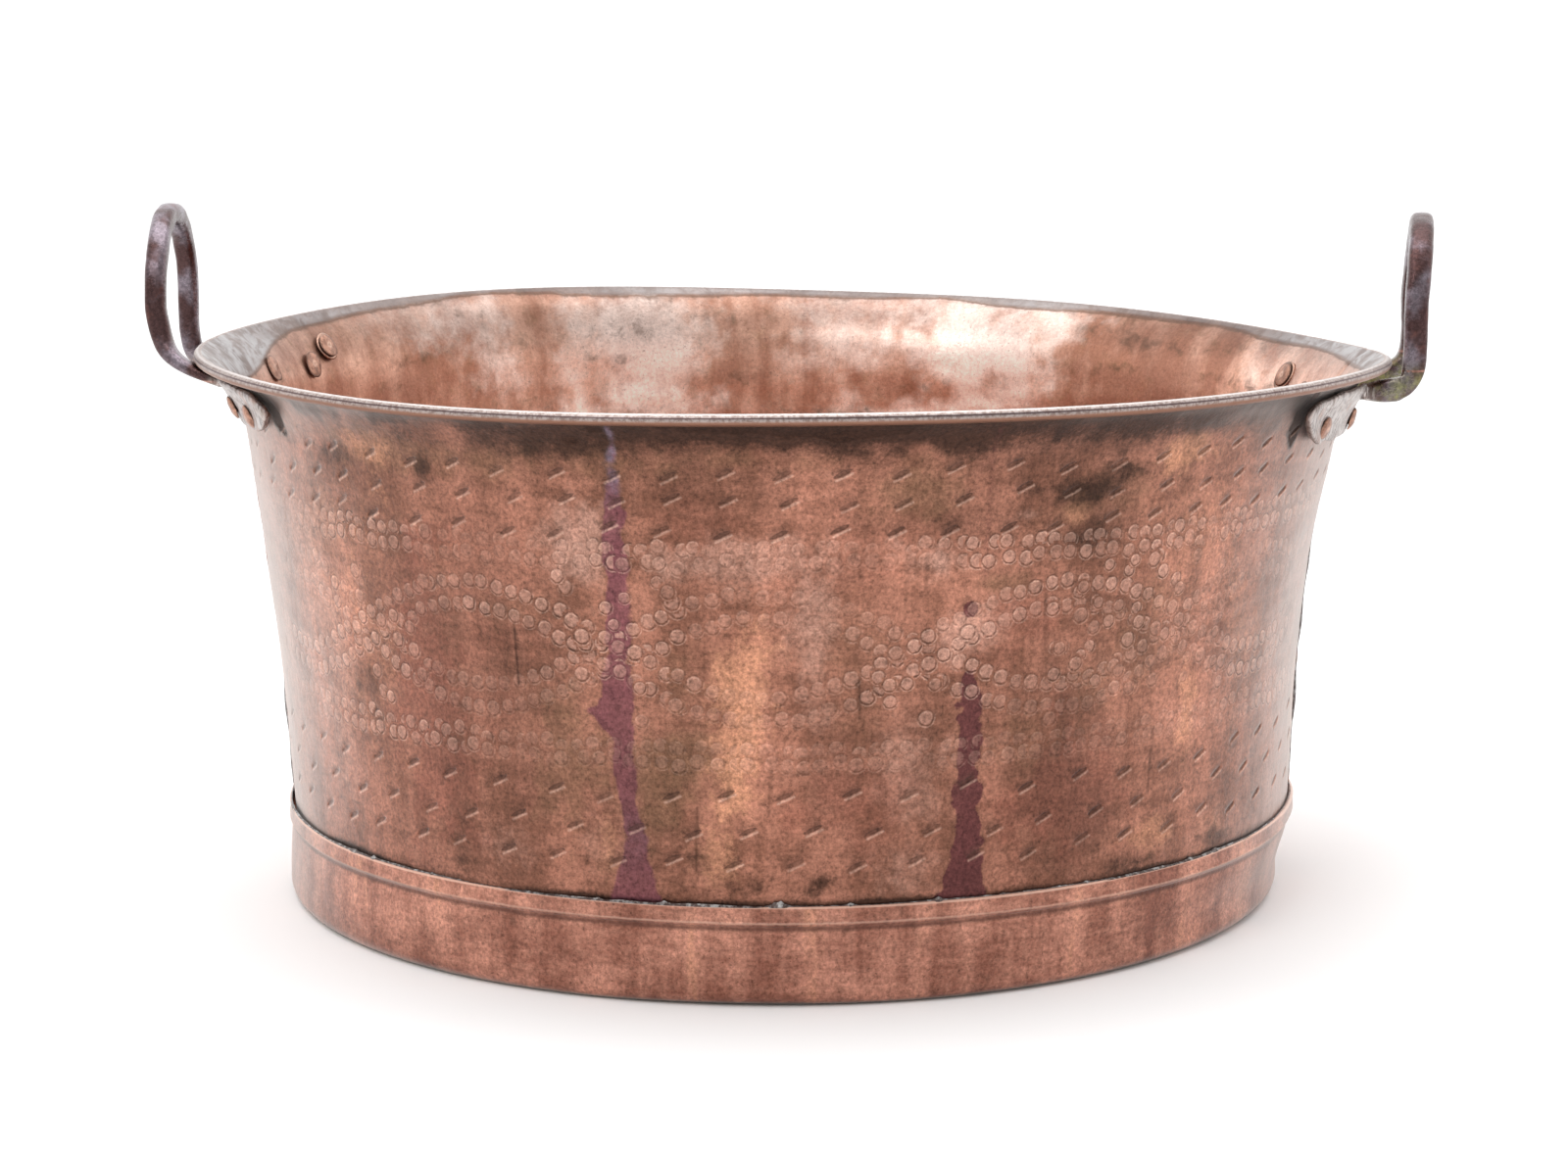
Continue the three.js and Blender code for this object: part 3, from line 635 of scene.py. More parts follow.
class Wall:
    """Displacement and masks of the whole wall, worked out once and shared by its two sheets."""

    def __init__(self):
        relief, raised, self.rings, self.cuts = ornament()
        hammered = dents()
        self.outward = (hammered + relief) * ON_WALL
        self.outward_inside = (hammered - RAISED_INSIDE * raised) * ON_WALL
        stains = [
            np.maximum(patches(spots, seed), elsewhere(seed + 1, amount))
            for spots, seed, amount in STAINS
        ]
        tone_and_painted_light = patches(LIGHTER_PATINA_AND_SHEEN, 98) - patches(DARKER_PATINA_AND_SHADE, 102) - 0.7 * hairlines()
        inside_highlights_and_shade = patches(INSIDE_HIGHLIGHTS, 106) - patches(INSIDE_STAINS_AND_SHADE, 110)
        inside_highlights_and_shade += soft_noise(114, tone_and_painted_light.shape, 20, 18) * 0.14
        rolled = np.clip((np.arange(len(PATH)) - ROWS) / ROLL_ROWS, 0, 1)[:, None]
        flange = flange_mask()
        self.masks = {
            "runs": np.stack([*run_masks(), soot_and_shade_mask()], -1),
            "stains": np.stack(stains, -1),
            "light": np.stack(np.broadcast_arrays(tone_and_painted_light, rolled, flange), -1),
        }
        self.inside_light = np.stack(np.broadcast_arrays(inside_highlights_and_shade, rolled, flange), -1)

    def sheet(self, name, first_seam, laps_over, materials):
        """One half sheet, closed: a fine outer face, an inner face at half its resolution, and edges."""
        first = int(round(first_seam / DEGREES)) - LAP_COLUMNS
        last = first + COLUMNS // 2 + 2 * LAP_COLUMNS
        columns = np.arange(first, last + 1)
        wrapped = columns % COLUMNS
        lap = 0
        if laps_over:
            from_end = np.minimum(columns - first, last - columns)
            lap = LAP_OUT * (1 - smoothstep(2 * LAP_COLUMNS, 2 * LAP_COLUMNS + 7, from_end))[None, :]
        angle = (columns * DEGREES)[None, :]

        def face(side, step, outward):
            shift = (side * SHEET / 2 + outward[:, wrapped] + lap)[::step, ::step]
            radius = PATH[::step, 0, None] + shift * NORMALS[::step, 0, None]
            height = PATH[::step, 1, None] + shift * NORMALS[::step, 1, None]
            return round_points(radius, angle[:, ::step], height)

        outer = face(1, 1, self.outward)
        inner = face(-1, 2, self.outward_inside)
        points = rim_warp(np.vstack([outer.reshape(-1, 3), inner.reshape(-1, 3)]))
        rows, wide = outer.shape[:2]
        inner_rows, inner_wide = inner.shape[:2]
        offset = rows * wide
        outer_quads = grid_faces(rows, wide)
        inner_quads = grid_faces(inner_rows, inner_wide, offset)[:, ::-1]
        edges = stitch(perimeter(rows, wide, 0), perimeter(inner_rows, inner_wide, offset))
        faces = outer_quads.tolist() + inner_quads.tolist() + edges.tolist()
        inside = np.repeat((0, 1, 0), (len(outer_quads), len(inner_quads), len(edges)))
        masks = {key: value[:, wrapped] for key, value in self.masks.items()}
        masks["unrolled"] = unrolled(first, last)
        within = masks | {"light": self.inside_light[:, wrapped]}
        flat = {
            key: np.vstack([v.reshape(-1, v.shape[-1]), within[key][::2, ::2].reshape(-1, v.shape[-1])])
            for key, v in masks.items()
        }
        unmarked = np.tile(FAR_FROM_MARKS, (4 * len(inner_quads) + 3 * len(edges), 1))
        corners = {
            "ring": np.vstack([corner_places(columns, self.rings, 0), unmarked]),
            "cut": np.vstack([corner_places(columns, self.cuts, math.radians(DASH_SLOPE)), unmarked]),
        }
        return make_piece(
            name, points, faces, materials, [name], inside, flat, corners
        )


def perimeter(rows, columns, first):
    """Indices round the edge of a grid, without repeats, anticlockwise."""
    index = first + np.arange(rows * columns).reshape(rows, columns)
    return np.concatenate([index[0, :-1], index[:-1, -1], index[-1, :0:-1], index[:0:-1, 0]])


# ---- material building ----


class Nodes:
    """Short calls that add nodes to one material and link them."""

    def __init__(self, name):
        self.material = bpy.data.materials.new(name)
        self.material.use_nodes = True
        self.tree = self.material.node_tree
        self.surface = self.tree.nodes["Principled BSDF"]

    def put(self, socket, value):
        if isinstance(value, bpy.types.NodeSocket):
            self.tree.links.new(value, socket)
        elif isinstance(value, tuple) and len(value) == 3 and socket.type == "RGBA":
            socket.default_value = (*value, 1)
        else:
            socket.default_value = value

    def attribute(self, name):
        node = self.tree.nodes.new("ShaderNodeAttribute")
        node.attribute_name = name
        return node

    def channels(self, name):
        """The four channels of a colour attribute."""
        source = self.attribute(name)
        split = self.tree.nodes.new("ShaderNodeSeparateColor")
        self.tree.links.new(source.outputs["Color"], split.inputs["Color"])
        return [*split.outputs, source.outputs["Alpha"]]

    def math(self, operation, a, b=0.0, c=0.0):
        node = self.tree.nodes.new("ShaderNodeMath")
        node.operation = operation
        for socket, value in zip(node.inputs, (a, b, c)):
            self.put(socket, value)
        return node.outputs[0]

    def split(self, vector):
        """The three parts of a vector."""
        node = self.tree.nodes.new("ShaderNodeSeparateXYZ")
        self.put(node.inputs[0], vector)
        return list(node.outputs)

    def total(self, *terms, plus=0.0):
        """Sum of (value, weight) pairs and of a constant."""
        result = plus
        for value, weight in terms:
            result = self.math("MULTIPLY_ADD", value, weight, result)
        return result

    def length(self, x, y):
        """Distance of (x, y) from the origin."""
        return self.math("SQRT", self.math("MULTIPLY_ADD", x, x, self.math("MULTIPLY", y, y)))

    def hump(self, value, middle, width):
        """1 where value is at the middle, fading smoothly to 0 at width to either side."""
        away = self.math("ABSOLUTE", self.math("SUBTRACT", value, middle))
        return self.remap(away, 0, width, 1.0, 0.0)

    def times(self, *values):
        result = values[0]
        for value in values[1:]:
            result = self.math("MULTIPLY", result, value)
        return result

    def scaled(self, colour, factor):
        """A colour made lighter or darker by a factor."""
        node = self.tree.nodes.new("ShaderNodeVectorMath")
        node.operation = "SCALE"
        self.put(node.inputs[0], colour)
        self.put(node.inputs["Scale"], factor)
        return node.outputs[0]

    def facing(self):
        """0 where the surface faces the camera, 1 where it turns edge on."""
        return self.tree.nodes.new("ShaderNodeLayerWeight").outputs["Facing"]

    def remap(self, value, low, high, to_low=0.0, to_high=1.0):
        """A smooth step from to_low at low to to_high at high."""
        node = self.tree.nodes.new("ShaderNodeMapRange")
        node.interpolation_type = "SMOOTHSTEP"
        names = ("Value", "From Min", "From Max", "To Min", "To Max")
        for name, setting in zip(names, (value, low, high, to_low, to_high)):
            self.put(node.inputs[name], setting)
        return node.outputs[0]

    def mix(self, factor, a, b):
        """Colour a turned into colour b by a factor from 0 to 1."""
        node = self.tree.nodes.new("ShaderNodeMix")
        node.data_type = "RGBA"
        self.put(node.inputs[0], factor)
        self.put(node.inputs[6], a)
        self.put(node.inputs[7], b)
        return node.outputs[2]

    def coordinates(self, source="Object", stretch=(1, 1, 1)):
        """Object coordinates, or those of a vector attribute, scaled along each axis."""
        if source == "Object":
            start = self.tree.nodes.new("ShaderNodeTexCoord").outputs["Object"]
        else:
            start = self.attribute(source).outputs["Vector"]
        mapping = self.tree.nodes.new("ShaderNodeMapping")
        mapping.inputs["Scale"].default_value = stretch
        self.tree.links.new(start, mapping.inputs["Vector"])
        return mapping.outputs[0]

    def noise(self, vector, size_mm, detail, roughness, distortion=0.0):
        node = self.tree.nodes.new("ShaderNodeTexNoise")
        self.put(node.inputs["Vector"], vector)
        node.inputs["Scale"].default_value = 1 / (size_mm * MM)
        node.inputs["Detail"].default_value = detail
        node.inputs["Roughness"].default_value = roughness
        node.inputs["Distortion"].default_value = distortion
        return node.outputs["Fac"]

    def bump(self, height, distance_mm):
        node = self.tree.nodes.new("ShaderNodeBump")
        node.inputs["Distance"].default_value = distance_mm * MM
        self.put(node.inputs["Height"], height)
        return node.outputs[0]

    def sharpness(self):
        """Above 0.5 on edges that stand out, below it in hollows."""
        return self.tree.nodes.new("ShaderNodeNewGeometry").outputs["Pointiness"]

    def finish(self, **inputs):
        names = {
            "colour": "Base Color",
            "metallic": "Metallic",
            "roughness": "Roughness",
            "normal": "Normal",
            "sheen": "Sheen Weight",
            "sheen_roughness": "Sheen Roughness",
        }
        for key, value in inputs.items():
            self.put(self.surface.inputs[names[key]], value)
        return self.material


# Colours in linear light.
ROSY = (0.365, 0.160, 0.108)
BROWN = (0.185, 0.078, 0.050)
OLIVE_BROWN = (0.180, 0.100, 0.056)
ORANGE = (0.53, 0.255, 0.150)
PALE_PINK = (0.50, 0.29, 0.225)
RED_BROWN = (0.245, 0.088, 0.060)
# Near-black brown of soot and of painted shade.
SOOT_AND_SHADE_BROWN = (0.036, 0.017, 0.011)
PURPLE = (0.160, 0.050, 0.066)
MAROON = (0.100, 0.030, 0.032)
BLUE_GREY = (0.19, 0.18, 0.23)
# Painted shade of the rings' and cuts' grooves, and painted highlight of ring lines, cut lips and the
# pan's band edges.
GROOVE_SHADE_BROWN = (0.075, 0.036, 0.026)
HIGHLIGHT_COPPER = (0.72, 0.46, 0.36)
GRAZING_SHEEN = (0.52, 0.47, 0.44)
RIM_METAL = (0.44, 0.375, 0.35)
RIM_BROWN_AND_SHADE = (0.24, 0.120, 0.080)
RIM_DULL = (0.25, 0.185, 0.165)
RIM_SEAM = (0.08, 0.046, 0.050)
RIM_HIGHLIGHT = (0.80, 0.76, 0.74)
FLANGE_GREY = (0.42, 0.41, 0.415)
HANDLE_BROWN = (0.072, 0.038, 0.037)
HANDLE_BLUE = (0.20, 0.165, 0.19)
HANDLE_WEAR = (0.30, 0.19, 0.16)
VERDIGRIS = (0.20, 0.20, 0.055)
FOOT_GREY = (0.47, 0.42, 0.40)
TIN = (0.36, 0.35, 0.34)
TIN_DARK = (0.085, 0.062, 0.056)
INSIDE_BROWN = (0.33, 0.150, 0.098)
INSIDE_ROSY = (0.60, 0.345, 0.255)
INSIDE_TAN = (0.34, 0.185, 0.100)
INSIDE_HIGHLIGHT_PINK = (0.92, 0.72, 0.64)
INSIDE_SHADE_AND_STAIN = (0.26, 0.120, 0.082)
INSIDE_FLECK = (0.18, 0.090, 0.064)
FOLD_BROWN = (0.12, 0.07, 0.05)
PAN_BROWN = (0.25, 0.100, 0.068)
PAN_ROSY = (0.55, 0.26, 0.185)
PAN_DRIP = (0.19, 0.072, 0.052)
PAN_MOTTLE = (0.19, 0.092, 0.066)
PAN_SHADE_LINE = (0.085, 0.036, 0.028)
FLOOR_DUST = (0.40, 0.37, 0.30)
HANDLE_RED = (0.13, 0.055, 0.045)
HANDLE_SCRATCH = (0.34, 0.17, 0.13)
PLATE_DARK = (0.15, 0.115, 0.105)
PLATE_ROSY = (0.40, 0.25, 0.20)
PLATE_WEAR = (0.50, 0.32, 0.26)
RIVET_BROWN = (0.24, 0.125, 0.088)
RIVET_ROSY = (0.42, 0.225, 0.160)
RIVET_WEAR = (0.60, 0.40, 0.31)
RIVET_SEAT = (0.075, 0.045, 0.035)


# Settings that the aged copper of the wall's outside and of the pan share.
AGED = {"metallic": 0.88, "sheen": 0.2, "sheen_roughness": 0.4}


def grain(n, vector):
    """Fine grain of the scoured sheet, a little drawn out both ways, about 0 on average."""
    upright = n.noise(n.coordinates("unrolled", (1, 0.3, 1)), 1.8, 3, 0.7)
    level = n.noise(n.coordinates("unrolled", (0.3, 1, 1)), 2.4, 3, 0.7)
    pits = n.noise(vector, 2.2, 3, 0.75)
    return n.total((upright, 0.45), (level, 0.35), (pits, 1.9), plus=-1.35)


def scoured(n, threads, weight, least=0.35):
    """Brightness factor of the grain: about 1 on average, and never below least."""
    return n.math("MAXIMUM", n.total((threads, weight), plus=1.0), least)


def ring_lines(n, break_up):
    """Painted highlight line, painted shade line and disc of the punched rings, as if lit from the upper
    left, worn in places.
    """
    x, y, force = n.split(n.attribute("ring").outputs["Vector"])
    distance = n.length(x, y)
    distance = n.total((distance, 1.0), (break_up, 0.5), plus=-0.25)
    lit = n.remap(n.total((y, 0.95), (x, -0.35)), -0.5, 0.6)
    unlit = n.math("SUBTRACT", 1.0, lit)
    upper = n.times(n.hump(distance, 0.87, 0.20), lit)
    lower = n.times(n.hump(distance, 1.18, 0.18), unlit)
    bright = n.total((upper, 1.0), (lower, 0.7))
    outer = n.times(n.hump(distance, 1.10, 0.18), lit)
    inner = n.times(n.hump(distance, 0.95, 0.20), unlit)
    dark = n.total((outer, 0.8), (inner, 1.0))
    kept = n.times(force, n.remap(break_up, 0.34, 0.56, 0.25, 1.0))
    disc = n.times(n.remap(distance, 0.7, 0.95, 1.0, 0.0), force)
    return n.times(bright, kept), n.times(dark, kept), disc


def cut_lines(n, break_up):
    """Painted shade in the chisel cuts, a painted highlight on their lower lip, and soft painted shade
    above them.
    """
    along, across, force = n.split(n.attribute("cut").outputs["Vector"])
    across = n.total((across, DASH_LENGTH / 2), (break_up, 0.8), plus=-0.4)
    taper = n.math("MAXIMUM", n.math("MULTIPLY_ADD", along, n.math("MULTIPLY", along, -1.0), 1.0), 0.0)
    ends = n.remap(taper, 0.0, 0.35)
    share = n.math("DIVIDE", n.math("ABSOLUTE", across), n.math("MULTIPLY_ADD", taper, 1.5, 0.2))
    dark = n.times(n.remap(share, 0.45, 1.1, 1.0, 0.0), ends, force)
    lip = n.times(n.hump(across, -2.0, 1.2), ends, force)
    shade = n.times(n.hump(across, 2.4, 2.6), ends, force)
    return dark, lip, shade


def outside_copper():
    n = Nodes("aged_copper_outside")
    purple, maroon, blue, soot_and_shade = n.channels("runs")
    olive, gold, pale, red = n.channels("stains")
    tone_and_painted_light, rolled, _ = n.split(n.attribute("light").outputs["Vector"])
    place = n.coordinates("Object")

    clouds = n.noise(place, 60, 4, 0.6)
    drips = n.noise(n.coordinates("unrolled", (1, 0.14, 1)), 24, 4, 0.6)
    smears = n.noise(n.coordinates("unrolled", (0.14, 1, 1)), 9, 4, 0.6)
    mottle = n.noise(place, 8, 6, 0.65, 0.4)
    speckle = n.noise(place, 1.9, 4, 0.7)
    break_up = n.noise(place, 3.2, 3, 0.6)
    threads = grain(n, place)

    base = n.total((drips, 0.4), (clouds, 0.3), (smears, 0.3))
    colour = n.mix(n.remap(base, 0.41, 0.60), BROWN, ROSY)
    for mask, tint, share in ((red, RED_BROWN, 0.7), (olive, OLIVE_BROWN, 0.6), (pale, PALE_PINK, 0.6)):
        ragged = n.total((mask, 1.0), (mottle, 0.7), (speckle, 0.5), plus=-0.6)
        colour = n.mix(n.remap(ragged, 0.0, 1.0, 0.0, share), colour, tint)
    worn = n.total((gold, 1.0), (speckle, 1.5), (mottle, 0.5), plus=-1.0)
    colour = n.mix(n.remap(worn, 0.15, 1.0, 0.0, 0.75), colour, ORANGE)
    # Soot and painted shade darken the colour to a near-black brown.
    soot_and_shade_share = n.total((soot_and_shade, 1.3), (mottle, 1.3), (smears, 1.0), (speckle, 0.7), plus=-1.5)
    colour = n.mix(n.remap(soot_and_shade_share, 0.05, 1.0, 0.0, 0.9), colour, SOOT_AND_SHADE_BROWN)
    run = n.total((purple, 1.0), (speckle, 0.9), plus=-0.45)
    colour = n.mix(n.remap(run, 0.2, 0.9, 0.0, 0.8), colour, PURPLE)
    run = n.total((maroon, 1.0), (speckle, 1.1), plus=-0.55)
    colour = n.mix(n.remap(run, 0.2, 0.75, 0.0, 0.9), colour, MAROON)
    colour = n.mix(n.times(blue, n.remap(mottle, 0.3, 0.65, 0.2, 0.8)), colour, BLUE_GREY)

    ring_highlight, ring_shade, disc = ring_lines(n, break_up)
    cut, lip, shade = cut_lines(n, break_up)
    colour = n.mix(n.times(disc, 0.50), colour, PALE_PINK)
    # Painted highlights and painted shade of the punched rings, then of the chisel cuts.
    colour = n.mix(n.times(ring_highlight, 0.55), colour, HIGHLIGHT_COPPER)
    colour = n.mix(n.times(ring_shade, 0.85), colour, GROOVE_SHADE_BROWN)
    colour = n.mix(n.times(lip, 0.38), colour, HIGHLIGHT_COPPER)
    colour = n.mix(n.total((cut, 0.62), (shade, 0.3)), colour, GROOVE_SHADE_BROWN)

    flecks = n.remap(speckle, 0.60, 0.70, 1.0, 0.62)
    glints = n.remap(speckle, 0.28, 0.38, 1.22, 1.0)
    texture = scoured(n, threads, 1.15)
    smoky = n.remap(mottle, 0.32, 0.68, 0.84, 1.14)
    # The lighter and darker bands, partly patina and partly painted reflection and shade, scale the
    # colour's brightness.
    light = n.total((tone_and_painted_light, 0.75), plus=1.0)
    colour = n.scaled(colour, n.times(flecks, glints, texture, smoky, light))
    # Painted sheen: the colour turns pale grey where the surface turns edge on, for the reflection of the
    # bright studio there, with less of it on soot and painted shade.
    painted_sheen = n.times(n.remap(n.facing(), 0.45, 0.95, 0.0, 0.62), n.remap(soot_and_shade, 0.55, 1.0, 1.0, 0.2))
    colour = n.mix(n.times(painted_sheen, n.remap(mottle, 0.3, 0.6, 0.7, 1.0)), colour, GRAZING_SHEEN)
    # The face of the roll that lies against the wire is painted near-black, as the shade inside the curl.
    colour = n.mix(n.remap(rolled, 0.0, 0.02), colour, SOOT_AND_SHADE_BROWN)

    rough = n.total((mottle, 0.3), (soot_and_shade, 0.08), (n.remap(soot_and_shade, 0.9, 1.0), 0.35), plus=0.27)
    marks = n.total((ring_highlight, 0.3), (ring_shade, -0.5), (cut, -0.8), (lip, 0.4))
    normal = n.bump(n.total((mottle, 1.0), (threads, 0.6), (marks, 1.0)), 0.22)
    return n.finish(colour=colour, roughness=rough, normal=normal, **AGED)


def rolled_edge(n, colour, rolled, speckle):
    """Colours of the rolled rim: dull metal with a painted highlight along the top, a dark seam line, and
    brown below, darker as painted shade on the underside.
    """
    metal = n.mix(n.remap(speckle, 0.40, 0.60), RIM_METAL, RIM_DULL)
    colour = n.mix(n.remap(rolled, 0.0, 0.06), colour, metal)
    # Painted highlight along the top of the bead.
    colour = n.mix(n.times(n.hump(rolled, 0.17, 0.10), 0.6), colour, RIM_HIGHLIGHT)
    colour = n.mix(n.times(n.hump(rolled, 0.36, 0.05), 0.95), colour, RIM_SEAM)
    # Brown below the seam line, darker as painted shade under the bead.
    return n.mix(n.remap(rolled, 0.42, 0.54), colour, RIM_BROWN_AND_SHADE)


def inside_copper():
    n = Nodes("aged_copper_inside")
    tone_and_painted_light, rolled, flange = n.split(n.attribute("light").outputs["Vector"])
    place = n.coordinates("Object")
    clouds = n.noise(place, 60, 4, 0.6)
    drips = n.noise(n.coordinates("unrolled", (1, 0.2, 1)), 22, 4, 0.6)
    mottle = n.noise(place, 12, 6, 0.65, 0.5)
    speckle = n.noise(place, 2.0, 4, 0.7)
    threads = grain(n, place)
    base = n.total((clouds, 0.5), (drips, 0.5))
    colour = n.mix(n.remap(base, 0.40, 0.60), INSIDE_BROWN, INSIDE_ROSY)
    colour = n.mix(n.remap(mottle, 0.48, 0.75, 0.0, 0.5), colour, INSIDE_TAN)
    # Painted highlights in pale pink and, between them, painted shade with dark stains in dusky brown.
    ragged = n.total((tone_and_painted_light, 1.0), (mottle, 0.9), (clouds, 1.1), (speckle, 0.4), plus=-1.15)
    colour = n.mix(n.remap(ragged, -0.25, 1.0, 0.0, 0.95), colour, INSIDE_HIGHLIGHT_PINK)
    colour = n.mix(n.remap(ragged, -1.2, -0.15, 0.75, 0.0), colour, INSIDE_SHADE_AND_STAIN)
    colour = n.mix(n.remap(speckle, 0.58, 0.68, 0.0, 0.5), colour, INSIDE_FLECK)
    texture = scoured(n, threads, 0.5, 0.4)
    _, _, height = n.split(place)
    wavy = n.total((height, 1.0), (mottle, 0.016), plus=-0.008)
    dull_top = n.remap(wavy, 276 * MM, 314 * MM, 1.3, 0.58)
    colour = n.scaled(colour, n.times(texture, dull_top))
    creased = n.total((flange, 1.0), (mottle, 0.5), plus=-0.25)
    colour = n.scaled(colour, n.remap(creased, 0.0, 0.45, 1.0, 0.42))
    colour = n.mix(n.times(n.hump(creased, 0.22, 0.16), 0.75), colour, FOLD_BROWN)
    streaks = n.remap(mottle, 0.36, 0.62, 1.0, 0.35)
    colour = n.mix(n.times(n.remap(creased, 0.25, 0.75, 0.0, 0.85), streaks), colour, FLANGE_GREY)
    colour = rolled_edge(n, colour, rolled, speckle)
    rough = n.total((mottle, 0.35), (flange, 0.1), plus=0.22)
    height = n.total((mottle, 1.2), (threads, 0.35))
    return n.finish(colour=colour, metallic=0.92, roughness=rough, normal=n.bump(height, 0.16))


# ---- base ----

PAN_COLUMNS = 1500
PAN_SKIP = 4  # columns of the outline to one of the floor and the underside
DISC_RINGS = 60
KNOCKED_IN = 7.5  # mm, at the right of the pan's foot
BULGED = 2.5  # mm, at the left of it
FOOT_WAVE_WIDTH = 48  # degrees
PAN_MEAN_RADIUS = 300
NECK = 2.6  # height of the slope between the upstand and the band


def arc(centre, radius, start, end, steps):
    angle = np.radians(np.linspace(start, end, steps))
    return [(centre[0] + radius * math.cos(a), centre[1] + radius * math.sin(a)) for a in angle]


def line(start, end, step):
    """Points from start up to but not including end, about step apart."""
    start, end = np.array(start, float), np.array(end, float)
    count = max(int(round(np.linalg.norm(end - start) / step)), 1)
    return [tuple(start + (end - start) * i / count) for i in range(count)]


def pan_outline():
    """Section of the pan, from the foot up the outside, over the band's top and down the inside."""
    out = BASE_RADIUS
    band = BAND_RADIUS
    socket = BASE_RADIUS + GAP
    inside = BASE_RADIUS - PAN_SHEET
    corner = (out - CORNER_RADIUS, CORNER_RADIUS)
    lip = BAND_SHEET / 2
    outer = [
        *arc(corner, CORNER_RADIUS, -90, 0, 8)[:-1],
        *line((out, CORNER_RADIUS), (out, LEDGE_HEIGHT - NECK), 2.2),
        *line((out, LEDGE_HEIGHT - NECK), (band, LEDGE_HEIGHT - 0.9), 0.8),
        *arc((band - 0.7, LEDGE_HEIGHT + 0.1), 0.75, -60, 20, 4),
        *line((band - 0.15, LEDGE_HEIGHT + 1.0), (band - 0.35, BAND_TOP - lip), 1.5),
        *arc((socket + lip, BAND_TOP - lip), lip, 0, 180, 7),
        *line((socket, BAND_TOP - lip - 0.8), (socket, LEDGE_HEIGHT), 3),
        *line((socket, LEDGE_HEIGHT), (inside, LEDGE_HEIGHT - 1.2), 1.2),
        *line((inside, LEDGE_HEIGHT - 1.2), (inside, CORNER_RADIUS), 4),
        *arc(corner, CORNER_RADIUS - PAN_SHEET, 0, -90, 5),
    ]
    return np.array(outer)


def plane_noise(seed, points, size):
    """Smooth noise of unit deviation at the points' x and y, with features about size mm across."""
    spacing, cells = 2.0, 330
    field = soft_noise(seed, (cells, cells), size / spacing, size / spacing)
    at = points[..., :2] / spacing + cells / 2
    low = np.floor(at).astype(int)
    share = at - low
    i, j = low[..., 0], low[..., 1]
    u, v = share[..., 0], share[..., 1]
    near = field[i, j] * (1 - v) + field[i, j + 1] * v
    far = field[i + 1, j] * (1 - v) + field[i + 1, j + 1] * v
    return near * (1 - u) + far * u


def settled(points):
    """points of the pan with its foot knocked in at the right and bulged a little at the left."""
    angle = np.degrees(np.arctan2(points[..., 1], points[..., 0]))
    knocked_in = KNOCKED_IN * bell(turn_between(angle, 0), FOOT_WAVE_WIDTH)
    bulged = BULGED * bell(turn_between(angle, 180), FOOT_WAVE_WIDTH)
    below = 1 - smoothstep(14, LEDGE_HEIGHT - 1, points[..., 2])
    near_edge = smoothstep(180, 290, np.hypot(points[..., 0], points[..., 1]))
    moved = (bulged - knocked_in) * below * near_edge
    out = np.stack([np.cos(np.radians(angle)), np.sin(np.radians(angle)), np.zeros_like(angle)], -1)
    return points + moved[..., None] * out


def closed_disc(edge, edge_radius, height_at, first, seed):
    """Rings of points that close a loop of fine points inward, with their faces.

    edge holds the loop's indices, and the new points are numbered from first.
    """
    angle = np.arange(PAN_COLUMNS)[::PAN_SKIP] * 360 / PAN_COLUMNS
    coarse = len(angle)
    radii = np.linspace(edge_radius, 0, DISC_RINGS + 2)[1:-1]
    flat_rings = round_points(radii[:, None], angle[None, :], height_at)
    bumps = 0.30 * plane_noise(seed, flat_rings, 9) + 0.10 * plane_noise(seed + 1, flat_rings, 4)
    level = height_at + bumps * smoothstep(0, 20, edge_radius - radii)[:, None]
    rings = settled(round_points(radii[:, None], angle[None, :], np.maximum(level, 0)))
    points = np.vstack([rings.reshape(-1, 3), [[0, 0, height_at]]])
    outermost = first + np.arange(coarse)
    ahead = np.roll(outermost, -1)
    a, b, c, d = (edge[k::PAN_SKIP] for k in range(PAN_SKIP))
    innermost = outermost + (DISC_RINGS - 1) * coarse
    middle = np.full(coarse, innermost[-1] + 1)
    fans = (
        (a, b, outermost),
        (b, c, outermost),
        (c, d, ahead),
        (d, np.roll(a, -1), ahead),
        (outermost, c, ahead),
        (innermost, np.roll(innermost, -1), middle),
    )
    triangles = np.concatenate([np.stack(fan, 1) for fan in fans])
    return points, grid_faces(DISC_RINGS, coarse, first, wrap=True), triangles


